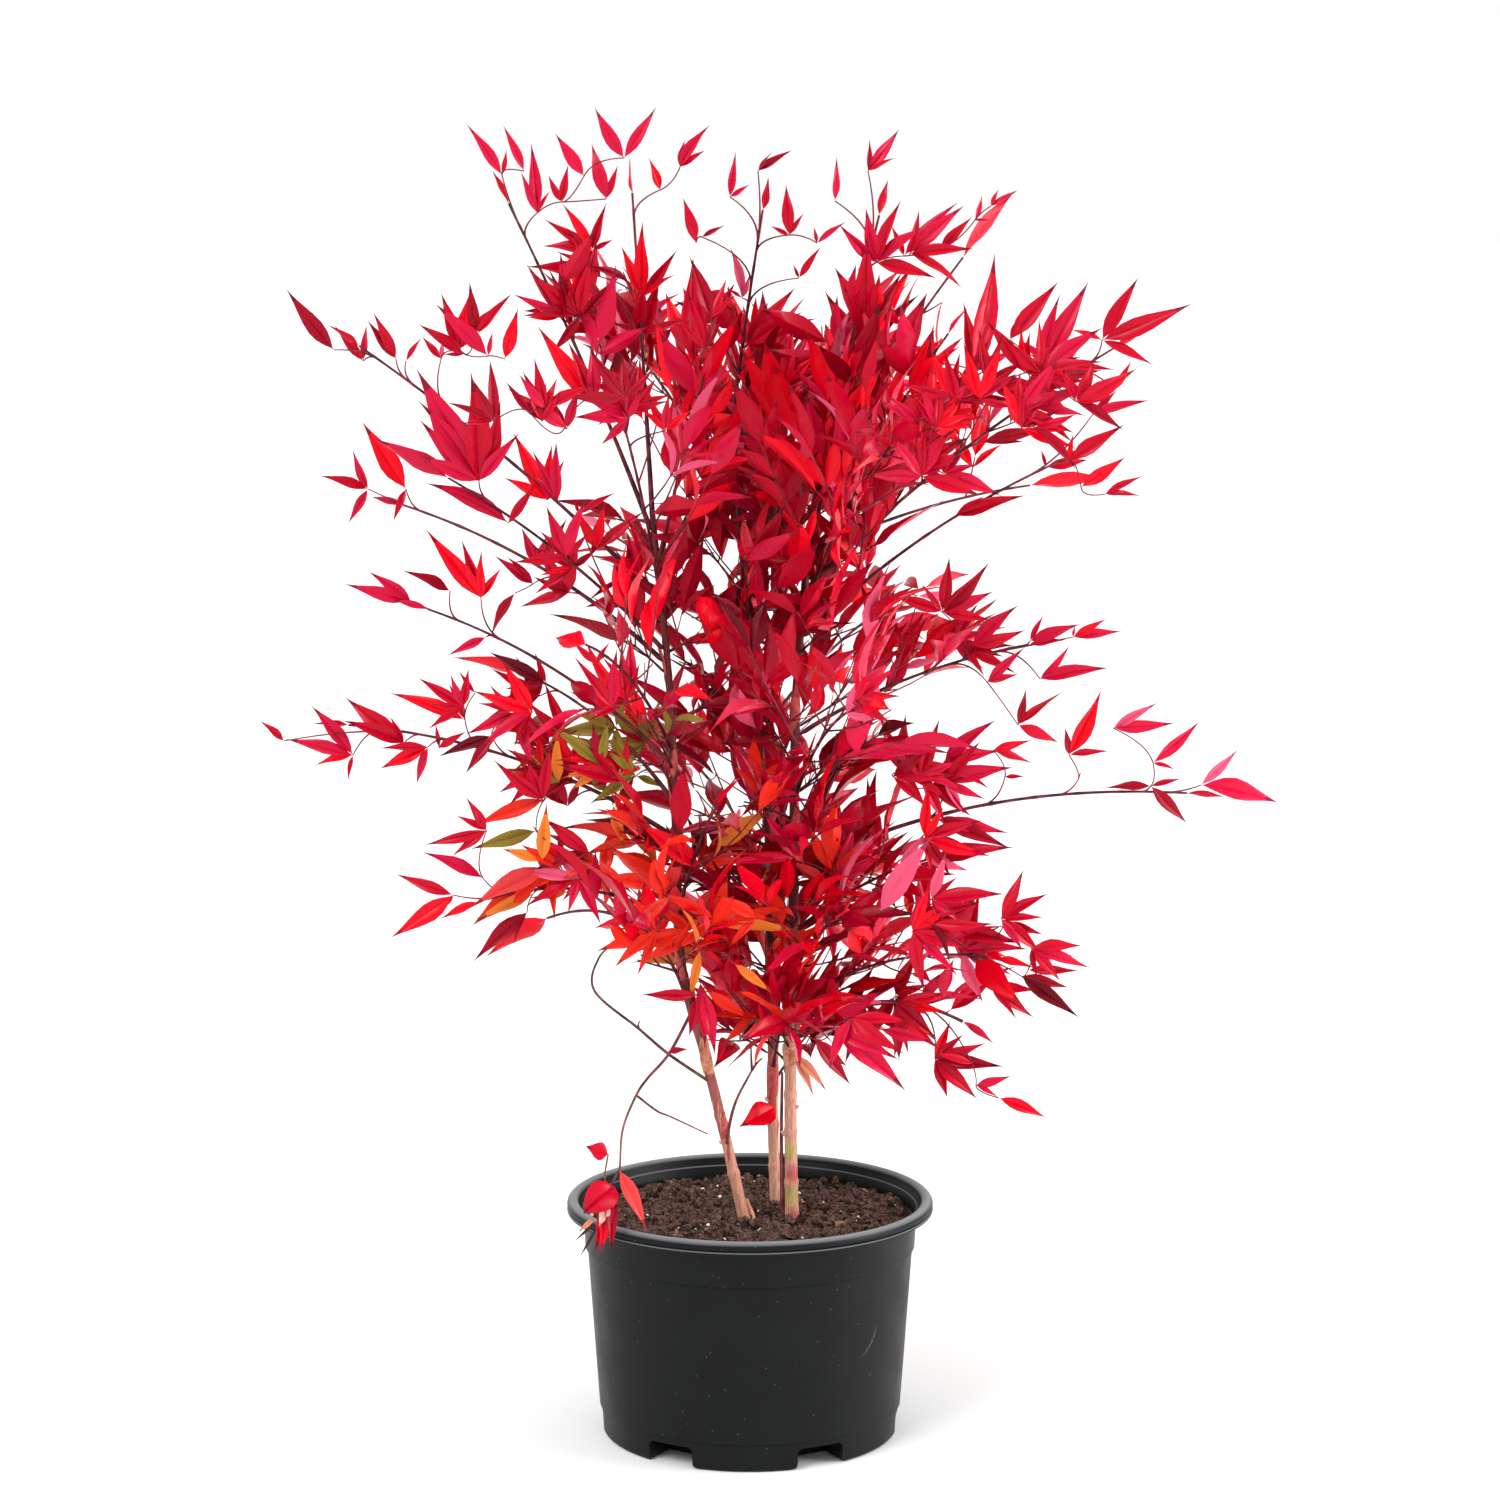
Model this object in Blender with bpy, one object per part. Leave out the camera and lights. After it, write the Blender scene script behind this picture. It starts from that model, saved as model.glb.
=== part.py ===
# Heavenly bamboo in a round nursery pot: pot, soil, three canes, boughs and masses of red leaves.
# Metres, +Z up. The origin is the centre of the pot's flat underside, and the view is along +Y.

from collections import namedtuple
from math import cos, exp, pi, radians, sin
import random

import bmesh
import bpy
from mathutils import Matrix, Vector
from mathutils.bvhtree import BVHTree

# Driving sizes of the pot
RIM_RADIUS = 0.150
POT_HEIGHT = 0.196
WALL = 0.002
TURN_STEPS = 42
LIP_DROP = 0.0105
LIP_WIDTH = 0.010
NECK_RADIUS = 0.1372
STEP_HEIGHT = 0.156
STEP_DEPTH = 0.0019
BAND_RADIUS = 0.1352
BODY_TOP_RADIUS = 0.1333
BODY_FOOT_RADIUS = 0.1240
SKIRT_HEIGHT = 0.0235
SKIRT_RADIUS = 0.1224
FOOT_CORNER = 0.004
FLOOR = 0.003

# Gaps between the feet, and the drain hole over each
FOOT_COUNT = 6
FOOT_TURN = radians(-92.0)
CHANNEL_WIDTH = 0.041
CHANNEL_HEIGHT = 0.018
CHANNEL_INNER_RADIUS = 0.086
CHANNEL_ROUND = 0.004
DRAIN_RADIUS = 0.006
DRAIN_PLACE = 0.102
DRAIN_SIDES = 10

# Soil and the gap that touching solids keep
SOIL_TOP = 0.172
GAP = 0.0003

# Limbs
CANE_SIDES = 8
CANE_RINGS = 16
FLARE = 0.35
FLARE_HEIGHT = 0.010
BOUGH_SIDES = 6
BOUGH_RINGS = 5
BOUGH_RADIUS = 0.0022
BOUGH_TIP_RADIUS = 0.0014
BOUGH_SHARE = 0.22
WHIP_SIDES = 4
WHIP_RADIUS = 0.0014
WHIP_TIP_RADIUS = 0.0010
STEM_RINGS = 4
STEM_TIP_RADIUS = 0.0009
BEND_SHARE = 0.42
CHORDS = 12

# Leaves and the rule that deals them out
LEAF_LENGTH = 0.072
LEAF_WIDTH = 0.31
LEAF_THICKNESS = 0.018
LEAF_WIDEST = 0.38
TIP_LEAF = 0.94
TIP_ROLL = radians(50.0)
BLADE_ROLL = 55.0
SIDE_LEAF = 0.92
TIP_PAIR_LEAF = 0.85
LEAF_SINK = 0.0004
LEAF_CLEARANCE = 0.0006
OWN_CLEARANCE = 0.0030
PINNA_ANGLE = radians(48.0)
PINNA_COLLAR = 0.0030
PINNA_RADIUS = 0.0010
PINNA_TIP_RADIUS = 0.0008
PINNA_SHORTEN = 0.75
SHORT_STALK = 0.006
PAIR_SHARE = 0.35
PAIR_PLACE = 0.7
NODE_ROLLS = (-20.0, 55.0)
ROLL_SPREAD = 20.0
LEAFLET_ANGLE = radians(44.0)
UPWARD = 0.7
DROOP_HEIGHT = 0.45
TIP_PAIR_BACK = 0.010
BARE_STALK = 0.10
WAY_TURNS = (0.0, 16.0, -16.0, 32.0, -32.0)
SEED = 40

# Finishes: linear colour and roughness
CRIMSON = (0.52, 0.006, 0.022), 0.45
BARK = (0.36, 0.19, 0.11), 0.8
DARK_BARK = (0.10, 0.022, 0.020), 0.6
PLASTIC = (0.018, 0.019, 0.020), 0.45
COMPOST = (0.045, 0.024, 0.018), 0.95

Cane = namedtuple("Cane", "name foot_radius tip_radius route")
Spray = namedtuple("Spray", "name cane start azimuth reach height arch bare width nodes")
Whip = namedtuple("Whip", "name start bends")

# Each cane runs from its flat foot on the soil through a few bends to the fork at its tip
CANES = (
    Cane("cane_left", 0.0046, 0.0024, (
        (-0.003, -0.019, SOIL_TOP + GAP), (-0.019, -0.024, 0.246), (-0.036, -0.027, 0.318),
        (-0.056, -0.028, 0.400), (-0.060, -0.027, 0.520), (-0.066, -0.022, 0.640), (-0.078, -0.016, 0.760))),
    Cane("cane_middle", 0.0046, 0.0024, (
        (0.0215, 0.016, SOIL_TOP + GAP), (0.019, 0.019, 0.253), (0.018, 0.023, 0.359),
        (0.014, 0.028, 0.508), (0.000, 0.034, 0.606), (-0.004, 0.037, 0.690), (-0.014, 0.038, 0.830))),
    Cane("cane_right", 0.0054, 0.0025, (
        (0.0345, -0.007, SOIL_TOP + GAP), (0.033, -0.008, 0.287), (0.035, -0.010, 0.442),
        (0.036, -0.013, 0.572), (0.040, -0.018, 0.660), (0.054, -0.024, 0.790))),
)

# Each spray leaves its cane at a height and arches to a tip at an azimuth, a reach and a height.
# Azimuth 0 is to the right, 90 to the back and 270 to the front.
SPRAYS = (
    Spray("top_far_left", "cane_left", 0.745, 193, 0.225, 1.065, 0.00, 0.30, 0.085, 3),
    Spray("top_left", "cane_left", 0.760, 149, 0.116, 1.080, -0.01, 0.34, 0.080, 3),
    Spray("top_centre", "cane_middle", 0.830, 290, 0.060, 1.060, 0.00, 0.14, 0.085, 3),
    Spray("top_mid_right", "cane_right", 0.770, 336, 0.128, 1.060, 0.00, 0.34, 0.085, 3),
    Spray("top_right", "cane_right", 0.790, 13, 0.219, 1.013, 0.00, 0.17, 0.090, 3),
    Spray("upper_right_front", "cane_right", 0.715, 325, 0.230, 0.955, 0.01, 0.17, 0.095, 3),
    Spray("upper_right", "cane_right", 0.700, 2, 0.352, 0.922, 0.02, 0.26, 0.100, 3),
    Spray("upper_right_low", "cane_right", 0.660, 345, 0.318, 0.830, 0.03, 0.17, 0.100, 3),
    Spray("upper_right_back", "cane_middle", 0.690, 24, 0.330, 0.775, 0.04, 0.34, 0.095, 3),
    Spray("upper_left", "cane_left", 0.690, 186, 0.369, 0.932, 0.01, 0.26, 0.095, 3),
    Spray("upper_left_front", "cane_left", 0.650, 203, 0.315, 0.825, 0.02, 0.19, 0.095, 3),
    Spray("upper_left_back", "cane_left", 0.640, 170, 0.352, 0.775, 0.04, 0.36, 0.090, 3),
    Spray("middle_left", "cane_left", 0.560, 184, 0.324, 0.700, 0.04, 0.20, 0.095, 3),
    Spray("middle_left_back", "cane_left", 0.530, 160, 0.262, 0.630, 0.05, 0.19, 0.090, 3),
    Spray("middle_left_low", "cane_left", 0.500, 177, 0.398, 0.585, 0.05, 0.30, 0.100, 4),
    Spray("middle_right", "cane_right", 0.580, 352, 0.296, 0.665, 0.03, 0.19, 0.095, 3),
    Spray("middle_right_low", "cane_right", 0.470, 2, 0.430, 0.520, 0.06, 0.36, 0.095, 4),
    Spray("lower_right_front", "cane_right", 0.420, 338, 0.225, 0.500, 0.03, 0.12, 0.090, 3),
    Spray("lower_right", "cane_right", 0.360, 349, 0.275, 0.385, 0.06, 0.14, 0.095, 3),
    Spray("lower_right_tip", "cane_right", 0.330, 12, 0.245, 0.285, 0.09, 0.60, 0.060, 2),
    Spray("lower_left", "cane_left", 0.430, 188, 0.293, 0.415, 0.07, 0.19, 0.090, 3),
    Spray("lower_left_back", "cane_left", 0.400, 155, 0.245, 0.375, 0.08, 0.20, 0.085, 3),
    Spray("lower_left_front", "cane_left", 0.370, 238, 0.225, 0.455, 0.05, 0.12, 0.090, 3),
    Spray("lower_front", "cane_middle", 0.300, 285, 0.150, 0.335, 0.07, 0.10, 0.080, 3),
    Spray("upper_front_left", "cane_left", 0.680, 250, 0.300, 0.880, 0.02, 0.17, 0.100, 3),
    Spray("upper_front_right", "cane_right", 0.680, 294, 0.305, 0.850, 0.03, 0.17, 0.100, 3),
    Spray("middle_front_left", "cane_left", 0.570, 244, 0.325, 0.690, 0.04, 0.17, 0.100, 3),
    Spray("middle_front_right", "cane_right", 0.530, 288, 0.330, 0.640, 0.05, 0.17, 0.100, 3),
    Spray("upper_back_left", "cane_middle", 0.760, 122, 0.300, 0.950, 0.01, 0.17, 0.100, 3),
    Spray("upper_back_right", "cane_middle", 0.740, 62, 0.310, 0.900, 0.02, 0.17, 0.100, 3),
    Spray("middle_back_left", "cane_middle", 0.620, 118, 0.340, 0.730, 0.04, 0.19, 0.100, 3),
    Spray("middle_back_right", "cane_middle", 0.570, 56, 0.345, 0.680, 0.05, 0.19, 0.100, 3),
    Spray("lower_back_left", "cane_middle", 0.450, 108, 0.310, 0.530, 0.06, 0.17, 0.095, 3),
    Spray("inner_top_left", "cane_left", 0.720, 262, 0.135, 0.930, 0.00, 0.12, 0.095, 2),
    Spray("inner_top_right", "cane_right", 0.740, 312, 0.150, 0.930, 0.00, 0.12, 0.095, 2),
    Spray("inner_middle_front", "cane_middle", 0.600, 268, 0.165, 0.770, 0.02, 0.14, 0.095, 2),
    Spray("inner_middle_back", "cane_middle", 0.660, 95, 0.170, 0.830, 0.02, 0.12, 0.095, 2),
    Spray("inner_low_front", "cane_left", 0.440, 268, 0.175, 0.570, 0.03, 0.14, 0.095, 2),
    Spray("inner_low_right", "cane_right", 0.385, 302, 0.185, 0.450, 0.04, 0.14, 0.095, 2),
    Spray("lower_back_right", "cane_middle", 0.390, 64, 0.280, 0.420, 0.07, 0.15, 0.090, 3),
)

# Two thin whips leave the left cane low down. The second one bends over the rim and ends in hanging leaves.
WHIPS = (
    Whip("whip_bare", 0.296, (
        (-0.065, -0.045, 0.324), (-0.089, -0.054, 0.347), (-0.124, -0.068, 0.381),
        (-0.120, -0.074, 0.409), (-0.103, -0.078, 0.425))),
    Whip("whip_hanging", 0.356, (
        (-0.065, -0.055, 0.327), (-0.082, -0.070, 0.310), (-0.091, -0.080, 0.298),
        (-0.101, -0.098, 0.275), (-0.103, -0.112, 0.247))),
)

# The hanging leaves: share of the way down their stem, azimuth and elevation in degrees, length
HANGING_STEM = (-0.114, -0.115, 0.229)
HANGING_LEAVES = (
    (0.25, 316, -52, 0.052), (0.30, 215, -80, 0.060), (0.95, 160, -32, 0.036), (0.95, 190, -76, 0.050),
)

# One leaf on the middle cane, low down: its height, azimuth, elevation and length
LOW_LEAF = (0.272, 225, -18, 0.040)


def clear_scene():
    """Remove what the scene holds before the plant is made."""
    for thing in list(bpy.data.objects):
        bpy.data.objects.remove(thing, do_unlink=True)


def material(name, colour, roughness):
    """A plain coat of one colour and roughness."""
    coat = bpy.data.materials.new(name)
    coat.use_nodes = True
    shader = coat.node_tree.nodes["Principled BSDF"]
    shader.inputs["Base Color"].default_value = (*colour, 1.0)
    shader.inputs["Roughness"].default_value = roughness
    shader.inputs["Metallic"].default_value = 0.0
    return coat


def add_object(name, bm, finish=None, smooth=True):
    """Turn a bmesh into a named object in the scene, in a coat of its own where it has a finish."""
    mesh = bpy.data.meshes.new(name)
    bm.to_mesh(mesh)
    bm.free()
    if smooth:
        mesh.shade_smooth()
        mesh.set_sharp_from_angle(angle=radians(40.0))
    if finish:
        mesh.materials.append(material(name + "_coat", *finish))
    thing = bpy.data.objects.new(name, mesh)
    bpy.context.scene.collection.objects.link(thing)
    return thing


def arc(centre_r, centre_z, radius, start, end, steps):
    """Points of a profile's round stretch, from one angle to another in degrees."""
    points = []
    for i in range(steps + 1):
        angle = radians(start + (end - start) * i / steps)
        points.append((centre_r + radius * cos(angle), centre_z + radius * sin(angle)))
    return points


def turned(profile):
    """A closed solid turned about Z from a profile that starts and ends on the axis."""
    bm = bmesh.new()
    verts = [bm.verts.new((r, 0.0, z)) for r, z in profile]
    edges = [bm.edges.new(pair) for pair in zip(verts, verts[1:])]
    bmesh.ops.spin(bm, geom=verts + edges, cent=(0, 0, 0), axis=(0, 0, 1), angle=2 * pi,
                   steps=TURN_STEPS, use_merge=True, use_duplicate=False)
    bmesh.ops.remove_doubles(bm, verts=bm.verts, dist=1e-6)
    bmesh.ops.recalc_face_normals(bm, faces=bm.faces)
    return bm


def channel_blocks(grow):
    """The six gaps between the feet as blocks with rounded upper edges, grown by a wall."""
    bm = bmesh.new()
    depth = RIM_RADIUS - CHANNEL_INNER_RADIUS + grow
    height = CHANNEL_HEIGHT + grow
    below = CHANNEL_WIDTH / 4
    for i in range(FOOT_COUNT):
        block = bmesh.ops.create_cube(bm, size=1.0)["verts"]
        bmesh.ops.scale(bm, verts=block, vec=(depth, CHANNEL_WIDTH + 2 * grow, height + below))
        bmesh.ops.translate(bm, verts=block, vec=(
            CHANNEL_INNER_RADIUS - grow + depth / 2, 0.0, (height - below) / 2))
        upper = [edge for edge in {e for v in block for e in v.link_edges}
                 if all(v.co.z > 0.0 for v in edge.verts)]
        rounded = bmesh.ops.bevel(bm, geom=upper, offset=CHANNEL_ROUND, offset_type="OFFSET",
                                  segments=1, profile=0.5, affect="EDGES", material=-1)
        piece = set(rounded["verts"]) | {v for v in block if v.is_valid}
        turn = FOOT_TURN + 2 * pi * (i + 0.5) / FOOT_COUNT
        bmesh.ops.rotate(bm, verts=list(piece), cent=(0, 0, 0), matrix=Matrix.Rotation(turn, 3, "Z"))
    bmesh.ops.recalc_face_normals(bm, faces=bm.faces)
    return bm


def drain_pins():
    """Round cutters for one drain hole over each channel."""
    bm = bmesh.new()
    for i in range(FOOT_COUNT):
        turn = FOOT_TURN + 2 * pi * (i + 0.5) / FOOT_COUNT
        place = Matrix.Translation((DRAIN_PLACE * cos(turn), DRAIN_PLACE * sin(turn), CHANNEL_HEIGHT))
        bmesh.ops.create_cone(bm, cap_ends=True, segments=DRAIN_SIDES, radius1=DRAIN_RADIUS,
                              radius2=DRAIN_RADIUS, depth=4 * WALL, matrix=place)
    return bm


def as_cutter(thing):
    """Keep a cutter in the file, but show it as a wire."""
    thing.display_type = "WIRE"
    thing.hide_render = True
    return thing


def cut(thing, cutter):
    """Take one solid's shape out of another."""
    modifier = thing.modifiers.new("cut_" + cutter.name, "BOOLEAN")
    modifier.operation = "DIFFERENCE"
    modifier.object = cutter


def body_radius(height):
    """Outer radius of the tapering wall at a height below the moulded step."""
    share = (height - SKIRT_HEIGHT) / (STEP_HEIGHT - SKIRT_HEIGHT)
    return BODY_FOOT_RADIUS + (BODY_TOP_RADIUS - BODY_FOOT_RADIUS) * share


def outer_profile():
    """The pot's outside from the middle of the underside up over the rolled lip to the axis."""
    lip_low = POT_HEIGHT - LIP_DROP
    crown = RIM_RADIUS - LIP_WIDTH / 2
    points = [(0.0, 0.0)]
    points += arc(SKIRT_RADIUS - 0.001 - FOOT_CORNER, FOOT_CORNER, FOOT_CORNER, -90, 0, 2)
    points += [(SKIRT_RADIUS, SKIRT_HEIGHT - 0.0008), (BODY_FOOT_RADIUS, SKIRT_HEIGHT)]
    points += [(BODY_TOP_RADIUS, STEP_HEIGHT - STEP_DEPTH), (BAND_RADIUS, STEP_HEIGHT)]
    points += [(NECK_RADIUS, lip_low), (RIM_RADIUS - 0.0008, lip_low), (RIM_RADIUS, lip_low + 0.0012)]
    points += arc(crown, POT_HEIGHT - LIP_WIDTH / 2, LIP_WIDTH / 2, 0, 90, 3)
    points.append((0.0, POT_HEIGHT))
    return points


def inner_profile(shrink, top):
    """The pot's inside from the floor to a height, drawn in by a gap."""
    lip_low = POT_HEIGHT - LIP_DROP
    neck = NECK_RADIUS - WALL - shrink
    points = [(0.0, FLOOR + shrink)]
    points += arc(SKIRT_RADIUS - WALL - FOOT_CORNER - shrink, FLOOR + FOOT_CORNER + shrink,
                  FOOT_CORNER, -90, 0, 1)
    points += [(body_radius(SKIRT_HEIGHT) - WALL - shrink, SKIRT_HEIGHT + WALL)]
    points += [(BODY_TOP_RADIUS - WALL - shrink, STEP_HEIGHT - STEP_DEPTH)]
    points += [(BAND_RADIUS - WALL - shrink, STEP_HEIGHT)]
    if top < lip_low:
        share = (top - STEP_HEIGHT) / (lip_low - STEP_HEIGHT)
        points.append((BAND_RADIUS - WALL - shrink + (NECK_RADIUS - BAND_RADIUS) * share, top))
    else:
        points.append((neck, lip_low))
        points += arc(RIM_RADIUS - LIP_WIDTH / 2, POT_HEIGHT - LIP_WIDTH / 2, LIP_WIDTH / 2, 180, 100, 2)
        points.append((RIM_RADIUS - LIP_WIDTH / 2, top))
    points.append((0.0, top))
    return points


def make_pot():
    """A thin moulded pot: rolled lip, stacking step, tapering wall and six feet with gaps between."""
    pot = add_object("pot", turned(outer_profile()), PLASTIC)
    blocks = as_cutter(add_object("channel_cutter", channel_blocks(0.0)))
    walls = as_cutter(add_object("channel_walls", channel_blocks(WALL)))
    inside = as_cutter(add_object("inside_cutter", turned(inner_profile(0.0, POT_HEIGHT + 0.002))))
    drains = as_cutter(add_object("drain_cutter", drain_pins()))
    cut(inside, walls)
    cut(pot, blocks)
    cut(pot, inside)
    cut(pot, drains)
    return pot


def make_soil():
    """The compost that fills the pot to its level, clear of the wall by a hair."""
    soil = add_object("soil", turned(inner_profile(GAP, SOIL_TOP)), COMPOST)
    raised = as_cutter(add_object("soil_channels", channel_blocks(WALL + GAP)))
    cut(soil, raised)
    return soil


def smooth_route(points, share):
    """A point on the smooth curve through a limb's bends, at a share of its run."""
    spans = len(points) - 1
    place = min(share * spans, spans - 1e-6)
    i = int(place)
    t = place - i
    p1 = Vector(points[i])
    p2 = Vector(points[i + 1])
    p0 = Vector(points[i - 1]) if i > 0 else p1 * 2 - p2
    p3 = Vector(points[i + 2]) if i + 2 <= spans else p2 * 2 - p1
    return 0.5 * (2 * p1 + (p2 - p0) * t + (2 * p0 - 5 * p1 + 4 * p2 - p3) * t * t
                  + (3 * p1 - p0 - 3 * p2 + p3) * t * t * t)


def ring(centre, along, radius, sides):
    """Corners of a ring square to a limb's run."""
    across = Vector((0.0, 1.0, 0.0)).cross(along)
    if across.length < 0.2:
        across = Vector((1.0, 0.0, 0.0)).cross(along)
    across.normalize()
    up = along.cross(across).normalized()
    corners = []
    for k in range(sides):
        angle = 2 * pi * k / sides
        corners.append(centre + across * (radius * cos(angle)) + up * (radius * sin(angle)))
    return corners


def hull(rings, root=None, tip=None):
    """Points and faces of a closed limb through rings. Each end is a point where one is given, or a flat cap."""
    sides = len(rings[0])
    points = [corner for loop in rings for corner in loop]
    last = (len(rings) - 1) * sides
    faces = []
    for j in range(len(rings) - 1):
        for k in range(sides):
            a = j * sides + k
            b = j * sides + (k + 1) % sides
            faces.append((a, b, b + sides, a + sides))
    if root is None:
        faces.append(tuple(reversed(range(sides))))
    else:
        points.append(root)
        faces += [((k + 1) % sides, k, len(points) - 1) for k in range(sides)]
    if tip is None:
        faces.append(tuple(range(last, last + sides)))
    else:
        points.append(tip)
        faces += [(last + k, last + (k + 1) % sides, len(points) - 1) for k in range(sides)]
    return points, faces


def seated(rings, along, seat):
    """Slide the first ring's corners along the limb onto the plane of its seat, a point and a normal."""
    point, normal = seat
    rings[0] = [corner + along * ((point - corner).dot(normal) / along.dot(normal)) for corner in rings[0]]
    return rings


def tube_rings(route, radii, sides):
    """Rings square to a route, one at each of its points."""
    rings = []
    for i, centre in enumerate(route):
        ahead = route[min(i + 1, len(route) - 1)]
        behind = route[max(i - 1, 0)]
        rings.append(ring(centre, (ahead - behind).normalized(), radii[i], sides))
    return rings


def twig_ring(centre, along, across, radius):
    """Three corners of a twig: two below and one above."""
    face = across.cross(along).normalized()
    low = centre - face * (radius * 0.5)
    return [low + across * (radius * 0.87), centre + face * radius, low - across * (radius * 0.87)]


def leaf_ring(centre, along, across, length, grow):
    """Three corners of a leaf where it is widest: its two edges and the ridge over its flat underside."""
    face = across.cross(along).normalized()
    half_width = length * LEAF_WIDTH / 2 + grow
    low = centre - face * grow
    return [low + across * half_width, centre + face * (length * LEAF_THICKNESS + grow), low - across * half_width]


def bmesh_of(piece):
    """A bmesh from points and faces, its faces turned outwards."""
    points, faces = piece
    bm = bmesh.new()
    verts = [bm.verts.new(point) for point in points]
    for face in faces:
        bm.faces.new([verts[i] for i in face])
    bmesh.ops.recalc_face_normals(bm, faces=bm.faces)
    return bm


def cane_radius(cane, height):
    """Radius of a cane at a height: a straight taper and a short flare at the root."""
    foot = cane.route[0][2]
    share = (height - foot) / (cane.route[-1][2] - foot)
    plain = cane.foot_radius + (cane.tip_radius - cane.foot_radius) * share
    return plain * (1 + FLARE * exp(-(height - foot) / FLARE_HEIGHT))


def cane_at(cane, height):
    """The middle of a cane at a height, and its direction there."""
    low = 0.0
    high = 1.0
    for _ in range(30):
        share = (low + high) / 2
        if smooth_route(cane.route, share).z < height:
            low = share
        else:
            high = share
    here = smooth_route(cane.route, low)
    before = smooth_route(cane.route, max(low - 0.02, 0.0))
    after = smooth_route(cane.route, min(low + 0.02, 1.0))
    return here, (after - before).normalized()


def cane_piece(cane):
    """One tapering cane with rings close together at its flared foot and a flat cut under it."""
    shares = [0.0, 0.015, 0.04] + [0.08 + 0.92 * i / (CANE_RINGS - 3) for i in range(CANE_RINGS - 2)]
    route = [smooth_route(cane.route, share) for share in shares]
    radii = [cane_radius(cane, point.z) for point in route]
    rings = tube_rings(route, radii, CANE_SIDES)
    return hull(seated(rings, (route[1] - route[0]).normalized(), (route[0], Vector((0.0, 0.0, 1.0)))))


def spray_curve(spray, cane):
    """Three points of a spray's arch, and the plane on the cane's skin where it is seated."""
    middle, along = cane_at(cane, spray.start)
    angle = radians(spray.azimuth)
    tip = Vector((spray.reach * cos(angle), spray.reach * sin(angle), spray.height))
    at_tip = spray.start >= cane.route[-1][2] - 1e-6
    if at_tip:
        normal = along
        start = middle + along * GAP
    else:
        outward = tip - middle
        normal = (outward - along * outward.dot(along)).normalized()
        start = middle + normal * (cane_radius(cane, spray.start) + GAP)
    lift = 0.5 * (tip.z - start.z) + spray.arch
    bend = start.lerp(tip, BEND_SHARE)
    bend.z = start.z + lift
    return start, bend, tip, normal


def on_curve(curve, share):
    """A point on a spray's arch."""
    start, bend, tip, _ = curve
    return start * (1 - share) ** 2 + bend * (2 * share * (1 - share)) + tip * share ** 2


def along_curve(curve, share):
    """The direction of a spray's arch at a share."""
    start, bend, tip, _ = curve
    return ((bend - start) * (2 * (1 - share)) + (tip - bend) * (2 * share)).normalized()


def curve_length(curve, first, last):
    """Length of a stretch of the arch, by short chords."""
    points = [on_curve(curve, first + (last - first) * i / CHORDS) for i in range(CHORDS + 1)]
    return sum((b - a).length for a, b in zip(points, points[1:]))


def limb_radius(share, bare):
    """Radius along a spray's arch: the bough's taper, then the finer stem's."""
    if share <= bare:
        return BOUGH_RADIUS + (BOUGH_TIP_RADIUS - BOUGH_RADIUS) * share / max(bare, 1e-6)
    part = (share - bare) / (1 - bare)
    return BOUGH_TIP_RADIUS + (STEM_TIP_RADIUS - BOUGH_TIP_RADIUS) * part


def bough_piece(spray, curve):
    """The bare stretch of a spray's arch, from its seat on the cane to where the leaves start."""
    shares = [spray.bare * i / BOUGH_RINGS for i in range(BOUGH_RINGS + 1)]
    route = [on_curve(curve, share) for share in shares]
    rings = tube_rings(route, [limb_radius(share, spray.bare) for share in shares], BOUGH_SIDES)
    return hull(seated(rings, along_curve(curve, 0.0), (curve[0], curve[3])))


def stem_piece(spray, curve, first, last, sideways):
    """A mass's own stem, which ends in the leaf at the spray's tip."""
    shares = [first + (last - first) * i / STEM_RINGS for i in range(STEM_RINGS + 1)]
    rings = []
    for share in shares:
        rings.append(twig_ring(on_curve(curve, share), along_curve(curve, share), sideways,
                               limb_radius(share, spray.bare)))
    if first == 0.0:
        rings = seated(rings, along_curve(curve, 0.0), (curve[0], curve[3]))
    end = on_curve(curve, last)
    out = curve[2] - end
    blade = Matrix.Rotation(TIP_ROLL, 3, out) @ sideways
    rings.append(leaf_ring(end + out * LEAF_WIDEST, out.normalized(), blade, out.length, 0.0))
    return hull(rings, None, curve[2])


def leaf_piece(root, along, across, length, grow=0.0):
    """A leaf from a point inside its twig: flat below, ridged above, long at the tip."""
    widest = leaf_ring(root + along * (length * LEAF_WIDEST), along, across, length, grow)
    return hull([widest], root - along * LEAF_SINK, root + along * (length + grow))


def pinna_piece(root, along, across, stalk, length, grow=0.0):
    """A side twig that ends in a leaf, from a point inside the stem that carries it."""
    rings = [
        twig_ring(root + along * PINNA_COLLAR, along, across, PINNA_RADIUS + grow),
        twig_ring(root + along * stalk, along, across, PINNA_TIP_RADIUS + grow),
        leaf_ring(root + along * (stalk + length * LEAF_WIDEST), along, across, length, grow)]
    return hull(rings, root, root + along * (stalk + length + grow))


def tree_of(piece):
    """A search tree of a piece's faces."""
    points, faces = piece
    return BVHTree.FromPolygons(points, faces)


def is_clear(piece, trees):
    """Whether a piece crosses none of the solids it has to keep away from."""
    own = tree_of(piece)
    return not any(tree.overlap(own) for tree in trees)


def blade_side(along, plane_normal, rng):
    """A leaf's width direction: near the spray's plane, rolled by a seeded angle."""
    across = along.cross(plane_normal)
    if across.length < 0.1:
        across = along.orthogonal()
    across.normalize()
    return Matrix.Rotation(radians(rng.uniform(-BLADE_ROLL, BLADE_ROLL)), 3, along) @ across


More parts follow.
